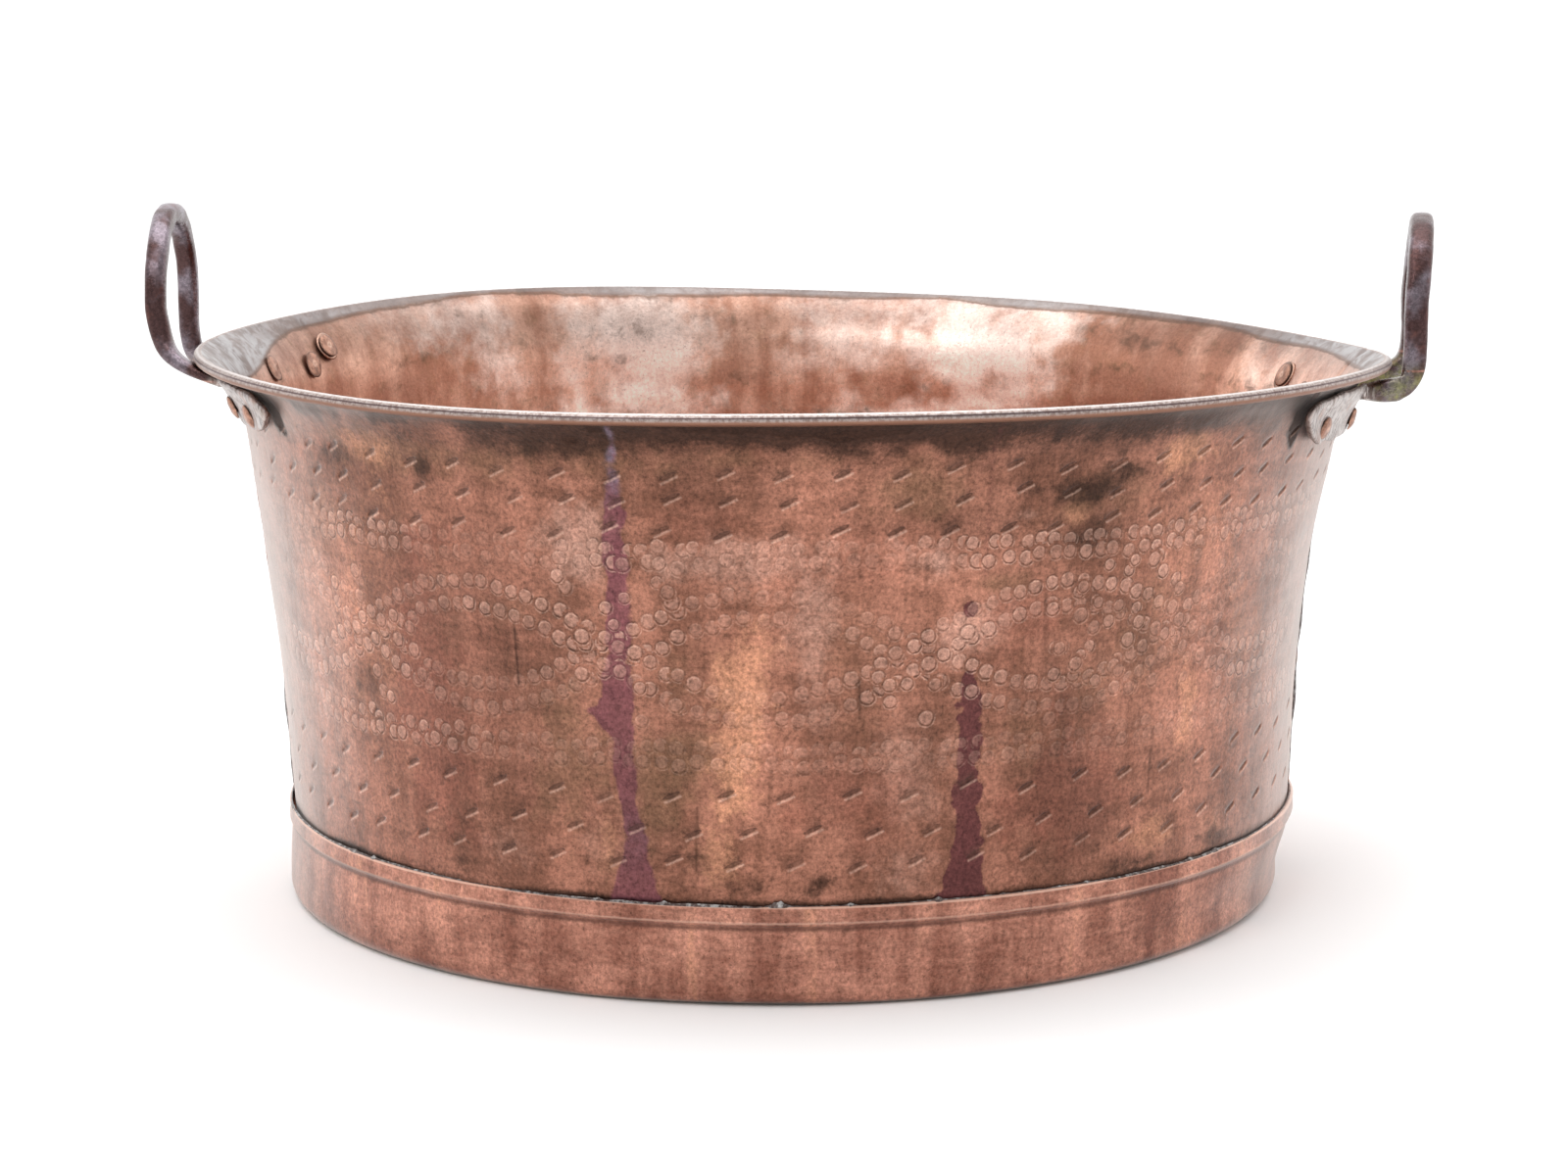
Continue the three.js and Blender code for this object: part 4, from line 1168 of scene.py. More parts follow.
def base_pan(material):
    """The pan: one turned outline, closed by a hammered floor and a slightly uneven underside."""
    outline = pan_outline()
    angle = np.arange(PAN_COLUMNS) * 360 / PAN_COLUMNS
    shape = (len(outline), PAN_COLUMNS)
    wobble = soft_noise(20, shape, 5, 30) * 0.35
    wobble += soft_noise(21, shape, 3, 9) * 0.10
    wobble += soft_noise(22, shape, 2, 3) * 0.03
    free = smoothstep(2, 14, outline[:, 1])[:, None]
    near_foot = (1 - smoothstep(0, 20, outline[:, 1]))[:, None]
    foot_lift = (0.5 + 0.5 * soft_noise(23, (1, PAN_COLUMNS), 1, 45)) * near_foot
    normal = left_normals(outline)
    radius = outline[:, :1] + wobble * normal[:, :1] * (0.35 + 0.65 * free)
    height = outline[:, 1:] + np.clip(foot_lift, 0, 1.6) + wobble * normal[:, 1:] * free * 0.6
    points = [settled(round_points(radius, angle[None, :], np.maximum(height, 0))).reshape(-1, 3)]
    unrolled_side = (np.radians(angle)[None, :] * PAN_MEAN_RADIUS * MM, outline[:, 1:] * MM, 0.0)
    places = [np.stack(np.broadcast_arrays(*unrolled_side), -1).reshape(-1, 3)]
    quads = [grid_faces(*shape, wrap=True)]
    triangles = []
    discs = ((0, 0.0, False, 30), (len(outline) - 1, PAN_SHEET, True, 34))
    for row, height_at, faces_up, seed in discs:
        edge = row * PAN_COLUMNS + np.arange(PAN_COLUMNS)
        first = sum(len(part) for part in points)
        new_points, new_quads, new_triangles = closed_disc(edge, outline[row, 0], height_at, first, seed)
        points.append(new_points)
        places.append(new_points * MM)
        quads.append(new_quads if faces_up else new_quads[:, ::-1])
        triangles.append(new_triangles if faces_up else new_triangles[:, ::-1])
    faces = np.concatenate(quads).tolist() + np.concatenate(triangles).tolist()
    masks = {"unrolled": np.vstack(places)}
    return make_piece(
        "base_pan", np.vstack(points), faces, [material], ["base_pan"], masks=masks
    )


def pan_copper():
    n = Nodes("aged_copper_base")
    place = n.coordinates("Object")
    x, y, height = n.split(place)
    radius = n.length(x, y)
    on_side = n.remap(radius, (BASE_RADIUS - 14) * MM, (BASE_RADIUS - 9) * MM)
    drips = n.noise(n.coordinates("unrolled", (1, 0.12, 1)), 30, 4, 0.6)
    clouds = n.noise(place, 40, 5, 0.6)
    smears = n.noise(n.coordinates("unrolled", (0.25, 1, 1)), 4, 4, 0.7)
    mottle = n.noise(place, 7, 6, 0.7, 0.4)
    speckle = n.noise(place, 1.9, 4, 0.7)
    threads = grain(n, place)
    base = n.total((drips, 0.45), (clouds, 0.35), (smears, 0.2))
    colour = n.mix(n.remap(base, 0.41, 0.60), PAN_BROWN, PAN_ROSY)
    colour = n.mix(n.remap(drips, 0.56, 0.70, 0.0, 0.65), colour, ORANGE)
    colour = n.mix(n.remap(drips, 0.28, 0.44, 0.6, 0.0), colour, PAN_DRIP)
    colour = n.mix(n.remap(mottle, 0.5, 0.72, 0.0, 0.5), colour, PAN_MOTTLE)
    flecks = n.remap(speckle, 0.58, 0.69, 1.0, 0.50)
    glints = n.remap(speckle, 0.28, 0.38, 1.25, 1.0)
    texture = scoured(n, threads, 1.05)
    colour = n.scaled(colour, n.times(flecks, glints, texture))
    level = (LEDGE_HEIGHT - 1.6) * MM
    wavy = n.total((height, 1.0), (mottle, 0.002), plus=-0.001)
    # Painted shade in a dark line under the band's overhanging lower edge, and a painted highlight along
    # that edge.
    groove = n.times(n.hump(wavy, level - 2.2 * MM, 2.2 * MM), on_side, 0.7)
    colour = n.mix(groove, colour, PAN_SHADE_LINE)
    edge = n.times(n.hump(wavy, level + 1.3 * MM, 1.2 * MM), on_side, 0.45)
    colour = n.mix(edge, colour, HIGHLIGHT_COPPER)
    # Painted highlight along the top of the band.
    top = n.remap(height, (BAND_TOP - 1.5) * MM, (BAND_TOP - 0.6) * MM)
    colour = n.mix(n.times(top, 0.75), colour, HIGHLIGHT_COPPER)
    bottom_line = n.times(n.remap(height, 0.4 * MM, 2.2 * MM, 0.75, 0.0), on_side)
    colour = n.mix(bottom_line, colour, FLOOR_DUST)
    # Painted sheen: pale grey where the pan turns edge on, for the reflection of the bright studio.
    painted_sheen = n.remap(n.facing(), 0.45, 0.95, 0.0, 0.5)
    colour = n.mix(painted_sheen, colour, GRAZING_SHEEN)
    rough = n.total((mottle, 0.3), plus=0.27)
    normal = n.bump(n.total((mottle, 1.0), (threads, 0.6), (speckle, 0.4)), 0.24)
    return n.finish(colour=colour, roughness=rough, normal=normal, **AGED)


# ---- solder, braze and wire ----

# Lumps of solder: (angle, half-width in degrees, height in mm).
SOLDER_BLOBS = (
    (-91.2, 1.3, 2.2), (-103, 0.7, 1.0), (-84, 1.0, 1.0), (-75, 0.8, 1.3), (-68, 0.5, 0.8),
    (-110, 0.5, 0.7), (-58, 0.7, 0.7), (-43, 0.6, 0.8),
)
BACK_BLOBS = 46  # lumps strewn round the sides and the back


def base_solder(material):
    """The run of solder in the corner between the band's top and the wall, with lumps."""
    columns = 2000
    angle = np.arange(columns) * 360 / columns
    size = 0.5 + 0.15 * soft_noise(50, (1, columns), 1, 12)[0]
    size = size + 0.10 * soft_noise(51, (1, columns), 1, 3)[0]
    lumps = np.random.default_rng(52)
    spots = list(SOLDER_BLOBS)
    for _ in range(BACK_BLOBS):
        spots.append((lumps.uniform(-40, 230), lumps.uniform(0.3, 1.0), lumps.uniform(0.3, 1.1)))
    for at, half_width, height in spots:
        lump = bell(turn_between(angle, at), half_width * 0.55)
        size = size + height * lump * (0.8 + 0.2 * np.sin(angle * 9))
    size = np.clip(size, 0.25, 2.8)
    wall = BASE_RADIUS + GAP
    steps = np.linspace(0, math.pi, 9)
    low = BAND_TOP - 0.6
    rings = []
    for t in steps:
        radius = wall + 0.2 + 0.85 * (1 - np.cos(t)) * np.clip(size * 0.7, 0.5, 1.15)
        height = low + 0.4 + size * (0.55 + 0.45 * math.cos(t)) * (1.25 if t < 1.6 else 1.0)
        rings.append(round_points(radius, angle, height))
    rings.append(round_points(np.full(columns, wall + 1.6), angle, np.full(columns, low)))
    rings.append(round_points(np.full(columns, wall + 0.1), angle, np.full(columns, low)))
    faces = ring_faces(len(rings), columns)[:, ::-1].tolist()
    return make_piece("base_solder", np.vstack(rings), faces, [material], ["base_solder"])


def seam_braze(name, seam, direction, material):
    """The fillet of braze along a lap's free edge, from the foot to the flange."""
    rows = 180
    height = np.linspace(60, 300, rows)
    radius = np.array([wall_at(z)[0] for z in height])
    edge = seam + direction * (LAP_COLUMNS * DEGREES + 0.06)
    width = 0.9 + 0.3 * soft_noise(55, (1, rows), 1, 5)[0]
    sides = []
    for share_out, share_along in ((0.0, 0.0), (0.0, 1.0), (0.55, 0.55), (1.0, 0.0)):
        out = radius + SHEET / 2 + 0.05 + share_out * width
        angle = edge + direction * np.degrees(share_along * width * 1.6 / radius)
        sides.append(round_points(out, angle, height))
    points = rim_warp(np.stack(sides, 1).reshape(-1, 3))
    low_cap = list(range(len(sides)))
    high_cap = list(range(len(points) - 1, len(points) - 1 - len(sides), -1))
    faces = [*grid_faces(rows, len(sides), wrap=True).tolist(), low_cap, high_cap]
    if direction < 0:
        faces = [face[::-1] for face in faces]
    return make_piece(name, points, faces, [material], [name])


def rim_wire(material):
    columns, corners = 720, 12
    angle = np.arange(columns) * 360 / columns
    turn = 2 * math.pi * np.arange(corners) / corners
    radius = WIRE_R + WIRE_RADIUS * np.cos(turn)[:, None]
    height = WIRE_Z + WIRE_RADIUS * np.sin(turn)[:, None]
    points = rim_warp(round_points(radius, angle[None, :], height).reshape(-1, 3))
    faces = ring_faces(corners, columns).tolist()
    return make_piece("rim_wire", points, faces, [material], ["rim_wire"])


def tin_material():
    n = Nodes("tin_solder")
    place = n.coordinates("Object")
    mottle = n.noise(place, 3.5, 5, 0.65)
    fine = n.noise(place, 0.7, 4, 0.6)
    colour = n.mix(n.remap(mottle, 0.44, 0.66), TIN_DARK, TIN)
    rough = n.remap(fine, 0.3, 0.7, 0.32, 0.5)
    normal = n.bump(n.math("ADD", mottle, fine), 0.2)
    return n.finish(colour=colour, metallic=0.85, roughness=rough, normal=normal)


def wire_material():
    n = Nodes("drawn_copper_wire")
    place = n.coordinates("Object")
    mottle = n.noise(place, 6, 4, 0.6)
    colour = n.mix(n.remap(mottle, 0.4, 0.6), BROWN, ROSY)
    rough = n.remap(mottle, 0.3, 0.7, 0.35, 0.5)
    return n.finish(colour=colour, metallic=0.95, roughness=rough, normal=n.bump(mottle, 0.1))


# ---- handles ----

LOOP_WIDTH = 104
LOOP_BOTTOM = 350
LOOP_TOP = 398
SPREAD = 0.25
FOOT_THICKNESS = 4.6
FOOT_START = 5.5
FOOT_LIFT = 5
CLEAR = 0.6
FOOT_SINK = 0.8
HANDLE_VOXEL = 0.9
HANDLE_SMOOTHING = 5
FOOT_OUT = (336, 344)  # radii between which the foot plates' look gives way to the bar's
FOOT_TOP = (309, 313)  # heights between which it does
LUMP_SIZE = 11.0
LUMP_HEIGHT = 0.35
FRONT_FOOT_LEAN = 3.5  # degrees by which the top of a front foot's end reaches further than its middle

# A leg from loop to foot: (share of the way in to the wall, sideways, height, share of the thickness).
SHARP_BEND = (
    (0.02, 53, 328, 1), (0.08, 54, 314, 1), (0.24, 55, 306, 1), (0.48, 57, 304, 1),
    (0.74, 60, 303, 0.9), (1, 62, 302, 0.5),
)
STRAIGHT_BEND = (
    (0, 52, 323, 1), (0.12, 52, 309, 1), (0.42, 52.5, 303, 0.95), (0.74, 53, 302, 0.75),
    (1, 53, 301, 0.45),
)
GENTLE_BEND = (
    (0.07, 53, 338, 1), (0.24, 55, 325, 0.9), (0.44, 59, 317, 0.73), (0.68, 63, 311, 0.62),
    (1, 66, 304, 0.45),
)

# A foot is (height of its middle, its whole height, angle of its end, angle where it lifts off the wall).
HANDLES = {
    "right": {
        "middle": 0,
        "bar": 14,
        "plane": 376.5,
        "lean": 3.2,
        "twist": 16,
        "front": {"bend": SHARP_BEND, "foot": (295, 31, 31, 25.5)},
        "back": {"bend": STRAIGHT_BEND, "foot": (292, 36, 27.5, 18)},
    },
    "left": {
        "middle": 180,
        "bar": 12.3,
        "plane": 366,
        "lean": 0,
        "twist": -2,
        "front": {"bend": GENTLE_BEND, "foot": (299, 26, 30.5, 24)},
        "back": {"bend": STRAIGHT_BEND, "foot": (292, 36, 31, 26)},
    },
}


def foot_sense(handle, end):
    """Direction round the wall in which a foot runs away from the handle's middle."""
    return -1 if (handle["middle"] == 0) == (end == "front") else 1


def bar_stations(handle):
    """The bar's centre line from the front foot over the loop to the back foot, with its thickness."""
    out_sign = 1 if handle["middle"] == 0 else -1
    stations = []

    def leg(end):
        across = -1 if end == "front" else 1
        top_out = handle["plane"] - handle["lean"] + 0.5 * across * handle["twist"]
        rows = []
        for share, sideways, height, thinning in handle[end]["bend"]:
            foot_radius = wall_at(height)[0] + SHEET / 2 + CLEAR + FOOT_SINK * FOOT_THICKNESS
            foot_out = math.sqrt(foot_radius**2 - sideways**2)
            out = top_out + (foot_out - top_out) * share
            rows.append((out_sign * out, across * sideways, height, thinning * handle["bar"]))
        return rows

    stations.extend(reversed(leg("front")))
    for angle in np.linspace(0, math.pi, 9):
        height = LOOP_BOTTOM + (LOOP_TOP - LOOP_BOTTOM) * math.sin(angle)
        out = handle["plane"] - handle["lean"] * (1 - math.sin(angle))
        out -= 0.5 * handle["twist"] * math.cos(angle)
        stations.append((out_sign * out, -LOOP_WIDTH / 2 * math.cos(angle), height, handle["bar"]))
    stations.extend(leg("back"))
    return np.array(stations)


def rounded_square(points, squareness):
    """Section of a bar as unit offsets: squareness 1 is round, and smaller is squarer."""
    angle = 2 * math.pi * (np.arange(points) + 0.5) / points
    round_section = np.stack([np.cos(angle), np.sin(angle)], 1)
    return np.sign(round_section) * np.abs(round_section) ** squareness


def loft_faces(rings, points):
    quads = grid_faces(rings, points, wrap=True).tolist()
    last = (rings - 1) * points
    return quads + [list(range(points))[::-1], list(range(last, last + points))]


def handle_bar(handle, seed):
    stations = bar_stations(handle)
    path = resampled(catmull_rom(stations, 24), 230)
    centre, thickness = path[:, :3], path[:, 3]
    along = np.gradient(centre, axis=0)
    along /= np.linalg.norm(along, axis=1)[:, None]
    sideways = np.stack([np.zeros(len(path)), centre[:, 1], np.maximum(centre[:, 2] - LOOP_BOTTOM, 0)], 1)
    sideways -= (sideways * along).sum(1)[:, None] * along
    sideways /= np.linalg.norm(sideways, axis=1)[:, None]
    across = np.cross(along, sideways)
    section = rounded_square(40, 0.60)
    thick = thickness / 2
    wide = handle["bar"] / 2 + SPREAD * (handle["bar"] / 2 - thick)
    shape = (len(path), len(section))
    forged = 1 + 0.022 * soft_noise(seed, shape, 7, 5) + 0.010 * soft_noise(seed + 1, shape, 2.5, 2)
    x = section[None, :, 0] * wide[:, None] * forged
    y = section[None, :, 1] * thick[:, None] * forged
    points = centre[:, None] + x[..., None] * sideways[:, None] + y[..., None] * across[:, None]
    return points.reshape(-1, 3), loft_faces(*shape)


def handle_foot(handle, end, seed):
    """The spread plate that follows the wall, its free end standing off it."""
    sense = foot_sense(handle, end)
    middle, whole, last, lift_from = handle[end]["foot"]
    section = rounded_square(64, 0.40)
    steps = 90
    share = np.linspace(0, 1, steps)
    degrees = FOOT_START + (last - FOOT_START) * share
    half = whole / 2 * np.sqrt(1 - np.abs(2 * share - 1) ** 6 * 0.9)
    lift = FOOT_LIFT * smoothstep(lift_from, last + 1, degrees)
    edge = 1 + 0.05 * soft_noise(seed, (1, steps), 1, 5)[0]
    rings = []
    for d, h, up, wave in zip(degrees, half, lift, edge):
        heights = middle + section[:, 0] * h * wave
        leaning = 0
        if end == "front":
            outward = (d - FOOT_START) / (last - FOOT_START)
            leaning = FRONT_FOOT_LEAN * outward * 2 * (heights - middle) / whole
        ring = []
        for z, bulge in zip(heights, section[:, 1]):
            radius, normal = wall_at(z)
            offset = SHEET / 2 + CLEAR + up + FOOT_THICKNESS / 2 * (1 + bulge)
            ring.append((radius + normal[0] * offset, z + normal[1] * offset))
        ring = np.array(ring)
        rings.append(round_points(ring[:, 0], handle["middle"] + sense * (d + leaning), ring[:, 1]))
    faces = loft_faces(steps, len(section))
    if sense < 0:
        faces = [face[::-1] for face in faces]
    return np.vstack(rings), faces


def fused(name, shells, voxel_mm, smoothing):
    """Points and faces of one closed skin round overlapping shells: voxel remeshed, then smoothed."""
    points, faces = [], []
    for shell_points, shell_faces in shells:
        offset = sum(len(p) for p in points)
        points.append(shell_points)
        faces.extend([[i + offset for i in f] for f in shell_faces])
    mesh = bpy.data.meshes.new(name)
    mesh.from_pydata((np.vstack(points) * MM).tolist(), [], faces)
    lump = bpy.data.objects.new(name, mesh)
    bpy.context.scene.collection.objects.link(lump)
    remesh = lump.modifiers.new("remesh", "REMESH")
    remesh.mode = "VOXEL"
    remesh.voxel_size = voxel_mm * MM
    smooth = lump.modifiers.new("smooth", "SMOOTH")
    smooth.iterations = smoothing
    smooth.factor = 0.5
    evaluated = lump.evaluated_get(bpy.context.evaluated_depsgraph_get())
    result = bpy.data.meshes.new_from_object(evaluated)
    bpy.data.objects.remove(lump)
    count = len(result.vertices)
    flat = np.zeros(count * 3)
    result.vertices.foreach_get("co", flat)
    found = [list(p.vertices) for p in result.polygons]
    bpy.data.meshes.remove(result)
    return flat.reshape(-1, 3) / MM, found


def make_handle(side, material):
    handle = HANDLES[side]
    seed = 100 if side == "right" else 200
    shells = [handle_bar(handle, seed)]
    for end in ("front", "back"):
        shells.append(handle_foot(handle, end, seed + 10))
    points, faces = fused(f"handle_{side}_lump", shells, HANDLE_VOXEL, HANDLE_SMOOTHING)
    shift = Vector((seed, 0, 0))
    lumps = np.array([noise.noise(Vector(p) / LUMP_SIZE + shift) for p in points.tolist()])
    centre = points.mean(0)
    away = points - centre
    away /= np.linalg.norm(away, axis=1)[:, None]
    points = points + away * (lumps * LUMP_HEIGHT)[:, None]
    radius = np.hypot(points[:, 0], points[:, 1])
    on_foot = (1 - smoothstep(*FOOT_OUT, radius)) * (1 - smoothstep(*FOOT_TOP, points[:, 2]))
    points = rim_warp(points)
    name = f"handle_{side}"
    return make_piece(name, points, faces, [material], [name], masks={"foot": on_foot})


def handle_material():
    n = Nodes("forged_handle")
    place = n.coordinates("Object")
    _, _, height = n.split(place)
    foot = n.attribute("foot").outputs["Fac"]
    mottle = n.noise(place, 10, 5, 0.62, 0.3)
    clouds = n.noise(place, 30, 3, 0.55)
    fine = n.noise(place, 1.6, 4, 0.65)
    striations = n.noise(n.coordinates("Object", (1, 1, 0.10)), 1.9, 4, 0.65)
    colour = n.mix(n.remap(clouds, 0.44, 0.60), HANDLE_BROWN, HANDLE_BLUE)
    colour = n.mix(n.remap(mottle, 0.55, 0.70, 0.0, 0.5), colour, HANDLE_RED)
    low = n.remap(height, 296 * MM, 318 * MM, 1.0, 0.0)
    green = n.times(low, n.remap(n.total((clouds, 0.5), (mottle, 0.5)), 0.42, 0.58), 0.75)
    colour = n.mix(green, colour, VERDIGRIS)
    scratch = n.times(n.hump(height, 309.5 * MM, 1.1 * MM), n.remap(mottle, 0.42, 0.5))
    colour = n.mix(scratch, colour, HANDLE_SCRATCH)
    colour = n.scaled(colour, n.remap(fine, 0.32, 0.68, 0.72, 1.3))
    worn = n.remap(n.sharpness(), 0.52, 0.58, 0.0, 0.6)
    colour = n.mix(worn, colour, HANDLE_WEAR)
    plate = n.mix(n.remap(striations, 0.40, 0.56), PLATE_DARK, FOOT_GREY)
    plate = n.mix(n.remap(mottle, 0.52, 0.7, 0.0, 0.6), plate, PLATE_ROSY)
    plate = n.mix(worn, plate, PLATE_WEAR)
    colour = n.mix(foot, colour, plate)
    rough = n.total((mottle, 0.4), (foot, 0.12), plus=0.08)
    bumps = n.total((mottle, 1.5), (fine, 1.0), (n.times(striations, foot), 1.2))
    return n.finish(colour=colour, metallic=0.85, roughness=rough, normal=n.bump(bumps, 0.28))


# ---- rivets ----

ROVE_HOLE = 4.2
ROVE_RADIUS = 9.5
ROVE_LOOK = 0.8  # height of a rove in mm, beaten into the sheet
INNER_DOME = 0.9  # height of the heads inside the bowl, beaten nearly flat
HEAD_RISE = 2.2
HEAD_REACH = 2.4  # how far from a rivet's end its head's widest point is looked for
SHANK_RADIUS = 3.8


def rivet_seat(node):
    """A rivet's or rove's middle, its outward axis, its ends along that axis, and its heads' radii."""
    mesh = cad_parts[node].data
    flat = np.zeros(len(mesh.vertices) * 3)
    mesh.vertices.foreach_get("co", flat)
    points = flat.reshape(-1, 3) / MM
    middle = (points.min(0) + points.max(0)) / 2
    angle = math.degrees(math.atan2(middle[1], middle[0]))
    _, normal = wall_at(middle[2])
    axis = round_points(normal[0], angle, normal[1])
    along = (points - middle) @ axis
    radial = np.linalg.norm(points - middle - along[:, None] * axis, axis=1)
    outer = along > along.max() - HEAD_REACH
    inner = along < along.min() + HEAD_REACH
    return middle, axis, along.min(), along.max(), radial[inner].max(), radial[outer].max()


def domed_pin(low, high, inner_radius, outer_radius, seed):
    """Points and faces of a rivet along +Z: two irregular domes on a shank, the inner one nearly flat."""
    around, rise = 56, HEAD_RISE
    t = np.linspace(0, math.pi / 2, 9)
    flat = low + rise - INNER_DOME
    profile = [(inner_radius * math.sin(a), flat + INNER_DOME * (1 - math.cos(a))) for a in t]
    profile += [(inner_radius * 0.97, low + rise + 0.25)]
    profile += [(SHANK_RADIUS, low + rise + 0.3), (SHANK_RADIUS, high - rise - 0.3)]
    profile += [(outer_radius * 0.97, high - rise - 0.25)]
    profile += [(outer_radius * math.sin(a), high - rise * (1 - math.cos(a))) for a in t[::-1]]
    profile = np.array(profile)
    angle = np.arange(around) * 360 / around
    rough = soft_noise(seed, (len(profile), around), 2.2, 5)
    radius = profile[:, :1] * (1 + 0.035 * rough)
    faceted = 0.16 * soft_noise(seed + 1, (len(profile), around), 1.6, 4)
    faceted = faceted * np.clip(profile[:, :1] / 3, 0, 1)
    points = round_points(radius, angle[None, :], profile[:, 1:] + faceted).reshape(-1, 3)
    return points, grid_faces(len(profile), around, wrap=True).tolist()


def rove_ring(high, seed):
    """Points and faces of a rove along +Z: a thin ring that ends at high."""
    around = 64
    face = high - ROVE_LOOK
    inside = [(ROVE_HOLE, face), (ROVE_RADIUS - 0.9, face)]
    outside = [(ROVE_RADIUS, face + 0.3), (ROVE_RADIUS, high), (ROVE_HOLE, high)]
    profile = np.array(inside + outside)
    angle = np.arange(around) * 360 / around
    wobble = 1 + 0.03 * soft_noise(seed, (1, around), 1, 6)
    points = round_points(profile[:, :1] * wobble, angle[None, :], profile[:, 1:]).reshape(-1, 3)
    return points, ring_faces(len(profile), around).tolist()


def make_rivet(node, material, seed):
    """One rivet or rove, rebuilt along its own axis and carried with the rim's waves."""
    middle, axis, low, high, inner_radius, outer_radius = rivet_seat(node)
    if node.startswith("rove"):
        points, faces = rove_ring(high, seed)
    else:
        points, faces = domed_pin(low, high, inner_radius, outer_radius, seed)
    turn = Vector((0, 0, 1)).rotation_difference(Vector(axis)).to_matrix()
    reach = np.hypot(points[:, 0], points[:, 1]) / inner_radius
    rim_of_head = smoothstep(0.88, 0.96, reach) * (points[:, 2] < 0)
    points = rim_warp(points @ np.array(turn).T + middle)
    masks = {"edge": rim_of_head}
    return make_piece(node, points, faces, [material], [node], masks=masks)


def rivet_material():
    n = Nodes("rivet_copper")
    place = n.coordinates("Object")
    edge = n.attribute("edge").outputs["Fac"]
    mottle = n.noise(place, 5, 5, 0.65)
    fine = n.noise(place, 1.3, 4, 0.6)
    colour = n.mix(n.remap(mottle, 0.40, 0.62), RIVET_BROWN, RIVET_ROSY)
    colour = n.mix(n.remap(n.sharpness(), 0.52, 0.6, 0.0, 0.6), colour, RIVET_WEAR)
    colour = n.mix(n.times(edge, 0.7), colour, RIVET_SEAT)
    colour = n.scaled(colour, n.remap(fine, 0.32, 0.68, 0.78, 1.2))
    bumps = n.total((mottle, 1.0), (fine, 1.0))
    rough = n.remap(fine, 0.3, 0.7, 0.32, 0.46)
    return n.finish(colour=colour, metallic=0.9, roughness=rough, normal=n.bump(bumps, 0.18))


# ---- build ----

OUTSIDE = outside_copper()
INSIDE = inside_copper()
wall = Wall()
wall.sheet("wall_front", 180, False, [OUTSIDE, INSIDE])
wall.sheet("wall_back", 0, True, [OUTSIDE, INSIDE])
base_pan(pan_copper())
TIN_LOOK = tin_material()
base_solder(TIN_LOOK)
seam_braze("seam_braze_right", 0, -1, TIN_LOOK)
seam_braze("seam_braze_left", 180, 1, TIN_LOOK)
rim_wire(wire_material())
HANDLE_LOOK = handle_material()
for side_name in HANDLES:
    make_handle(side_name, HANDLE_LOOK)
RIVET_LOOK = rivet_material()
for number, node_name in enumerate(sorted(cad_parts)):
    if node_name.startswith(("rivet", "rove")):
        make_rivet(node_name, RIVET_LOOK, 300 + 5 * number)


# ---- floor, light and camera ----

FLOOR_WHITE = (0.9, 0.9, 0.9)
SKY_FROM, SKY_TO = -0.9, 0.35  # Y of the directions between which the sky brightens
SKY_FRONT, SKY_BACK = 0.62, 1.6  # brightness on the camera's side and behind the bowl
CAMERA_LENS = 83.25
CAMERA_PLACE = (0, -2.155, 0.552)
CAMERA_TILT = (0.171, -0.0015, -0.0072)  # pitch down, yaw and roll in radians


def floor():
    mesh = bpy.data.meshes.new("floor")
    mesh.from_pydata([(-6, -4, 0), (6, -4, 0), (6, 8, 0), (-6, 8, 0)], [], [(0, 1, 2, 3)])
    n = Nodes("pale_floor")
    n.finish(colour=FLOOR_WHITE, roughness=0.9)
    mesh.materials.append(n.material)
    plane = bpy.data.objects.new("floor", mesh)
    bpy.context.scene.collection.objects.link(plane)


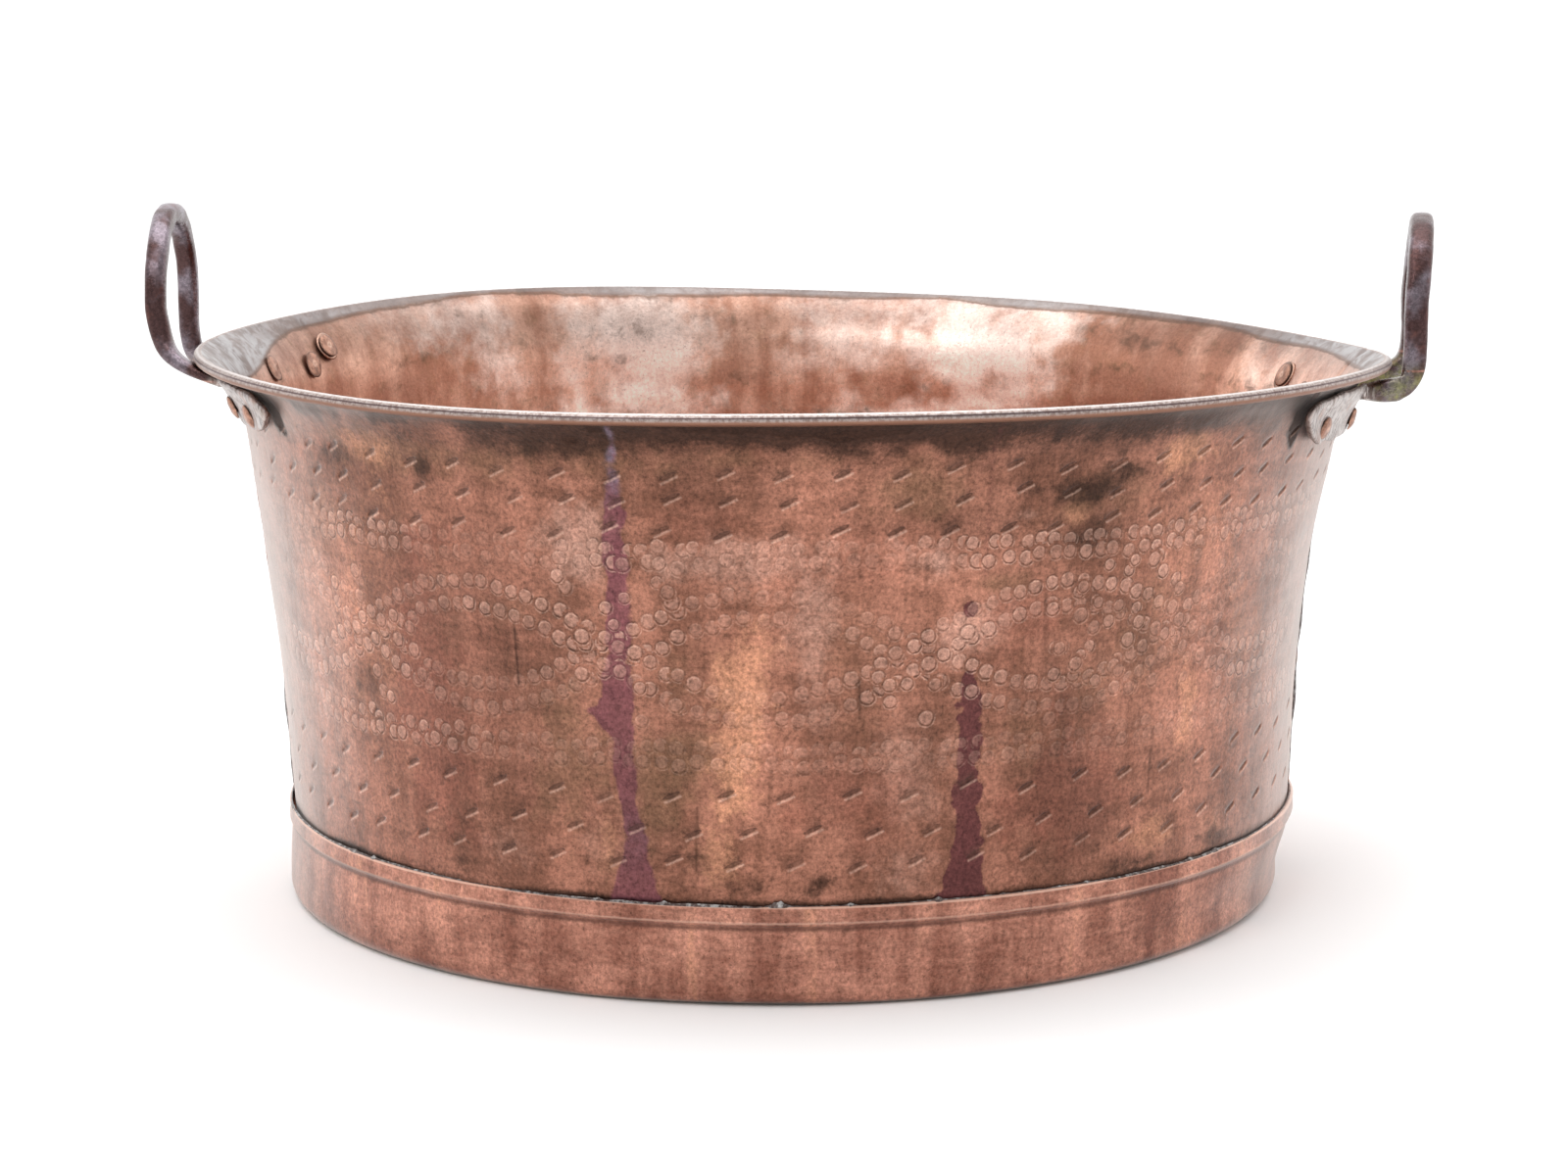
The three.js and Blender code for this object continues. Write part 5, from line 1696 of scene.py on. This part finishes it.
def area_light(name, place, aim, size, watts):
    data = bpy.data.lights.new(name, "AREA")
    data.shape = "RECTANGLE"
    data.size, data.size_y = size
    data.energy = watts
    lamp = bpy.data.objects.new(name, data)
    lamp.location = place
    lamp.rotation_euler = (Vector(aim) - Vector(place)).to_track_quat("-Z", "Y").to_euler()
    bpy.context.scene.collection.objects.link(lamp)


def studio():
    """White all round: brighter behind and beside the bowl than on the camera's side."""
    world = bpy.data.worlds.new("studio")
    bpy.context.scene.world = world
    world.use_nodes = True
    tree = world.node_tree
    background = tree.nodes["Background"]
    place = tree.nodes.new("ShaderNodeTexCoord")
    split = tree.nodes.new("ShaderNodeSeparateXYZ")
    tree.links.new(place.outputs["Generated"], split.inputs[0])
    ramp = tree.nodes.new("ShaderNodeMapRange")
    ramp.interpolation_type = "SMOOTHSTEP"
    ramp.inputs["From Min"].default_value = SKY_FROM
    ramp.inputs["From Max"].default_value = SKY_TO
    ramp.inputs["To Min"].default_value = SKY_FRONT
    ramp.inputs["To Max"].default_value = SKY_BACK
    tree.links.new(split.outputs["Y"], ramp.inputs["Value"])
    tree.links.new(ramp.outputs[0], background.inputs["Strength"])
    background.inputs["Color"].default_value = (1, 1, 1, 1)
    bpy.context.scene.view_settings.view_transform = "Standard"
    area_light("soft_key", (-1.2, -2.2, 2.6), (0, 0, 0.2), (1.6, 1.6), 26)
    area_light("top_sheet", (0, 0.2, 3.0), (0, 0, 0), (3.0, 2.0), 40)


def camera():
    data = bpy.data.cameras.new("camera")
    data.sensor_width = 36
    data.lens = CAMERA_LENS
    view = bpy.data.objects.new("camera", data)
    pitch, yaw, roll = CAMERA_TILT
    level_part = math.cos(pitch)
    forward = Vector((math.sin(yaw) * level_part, math.cos(yaw) * level_part, -math.sin(pitch)))
    view.location = CAMERA_PLACE
    view.rotation_mode = "QUATERNION"
    level = forward.to_track_quat("-Z", "Y")
    view.rotation_quaternion = level @ Quaternion((0, 0, 1), roll)
    bpy.context.scene.collection.objects.link(view)
    bpy.context.scene.camera = view


floor()
studio()
camera()
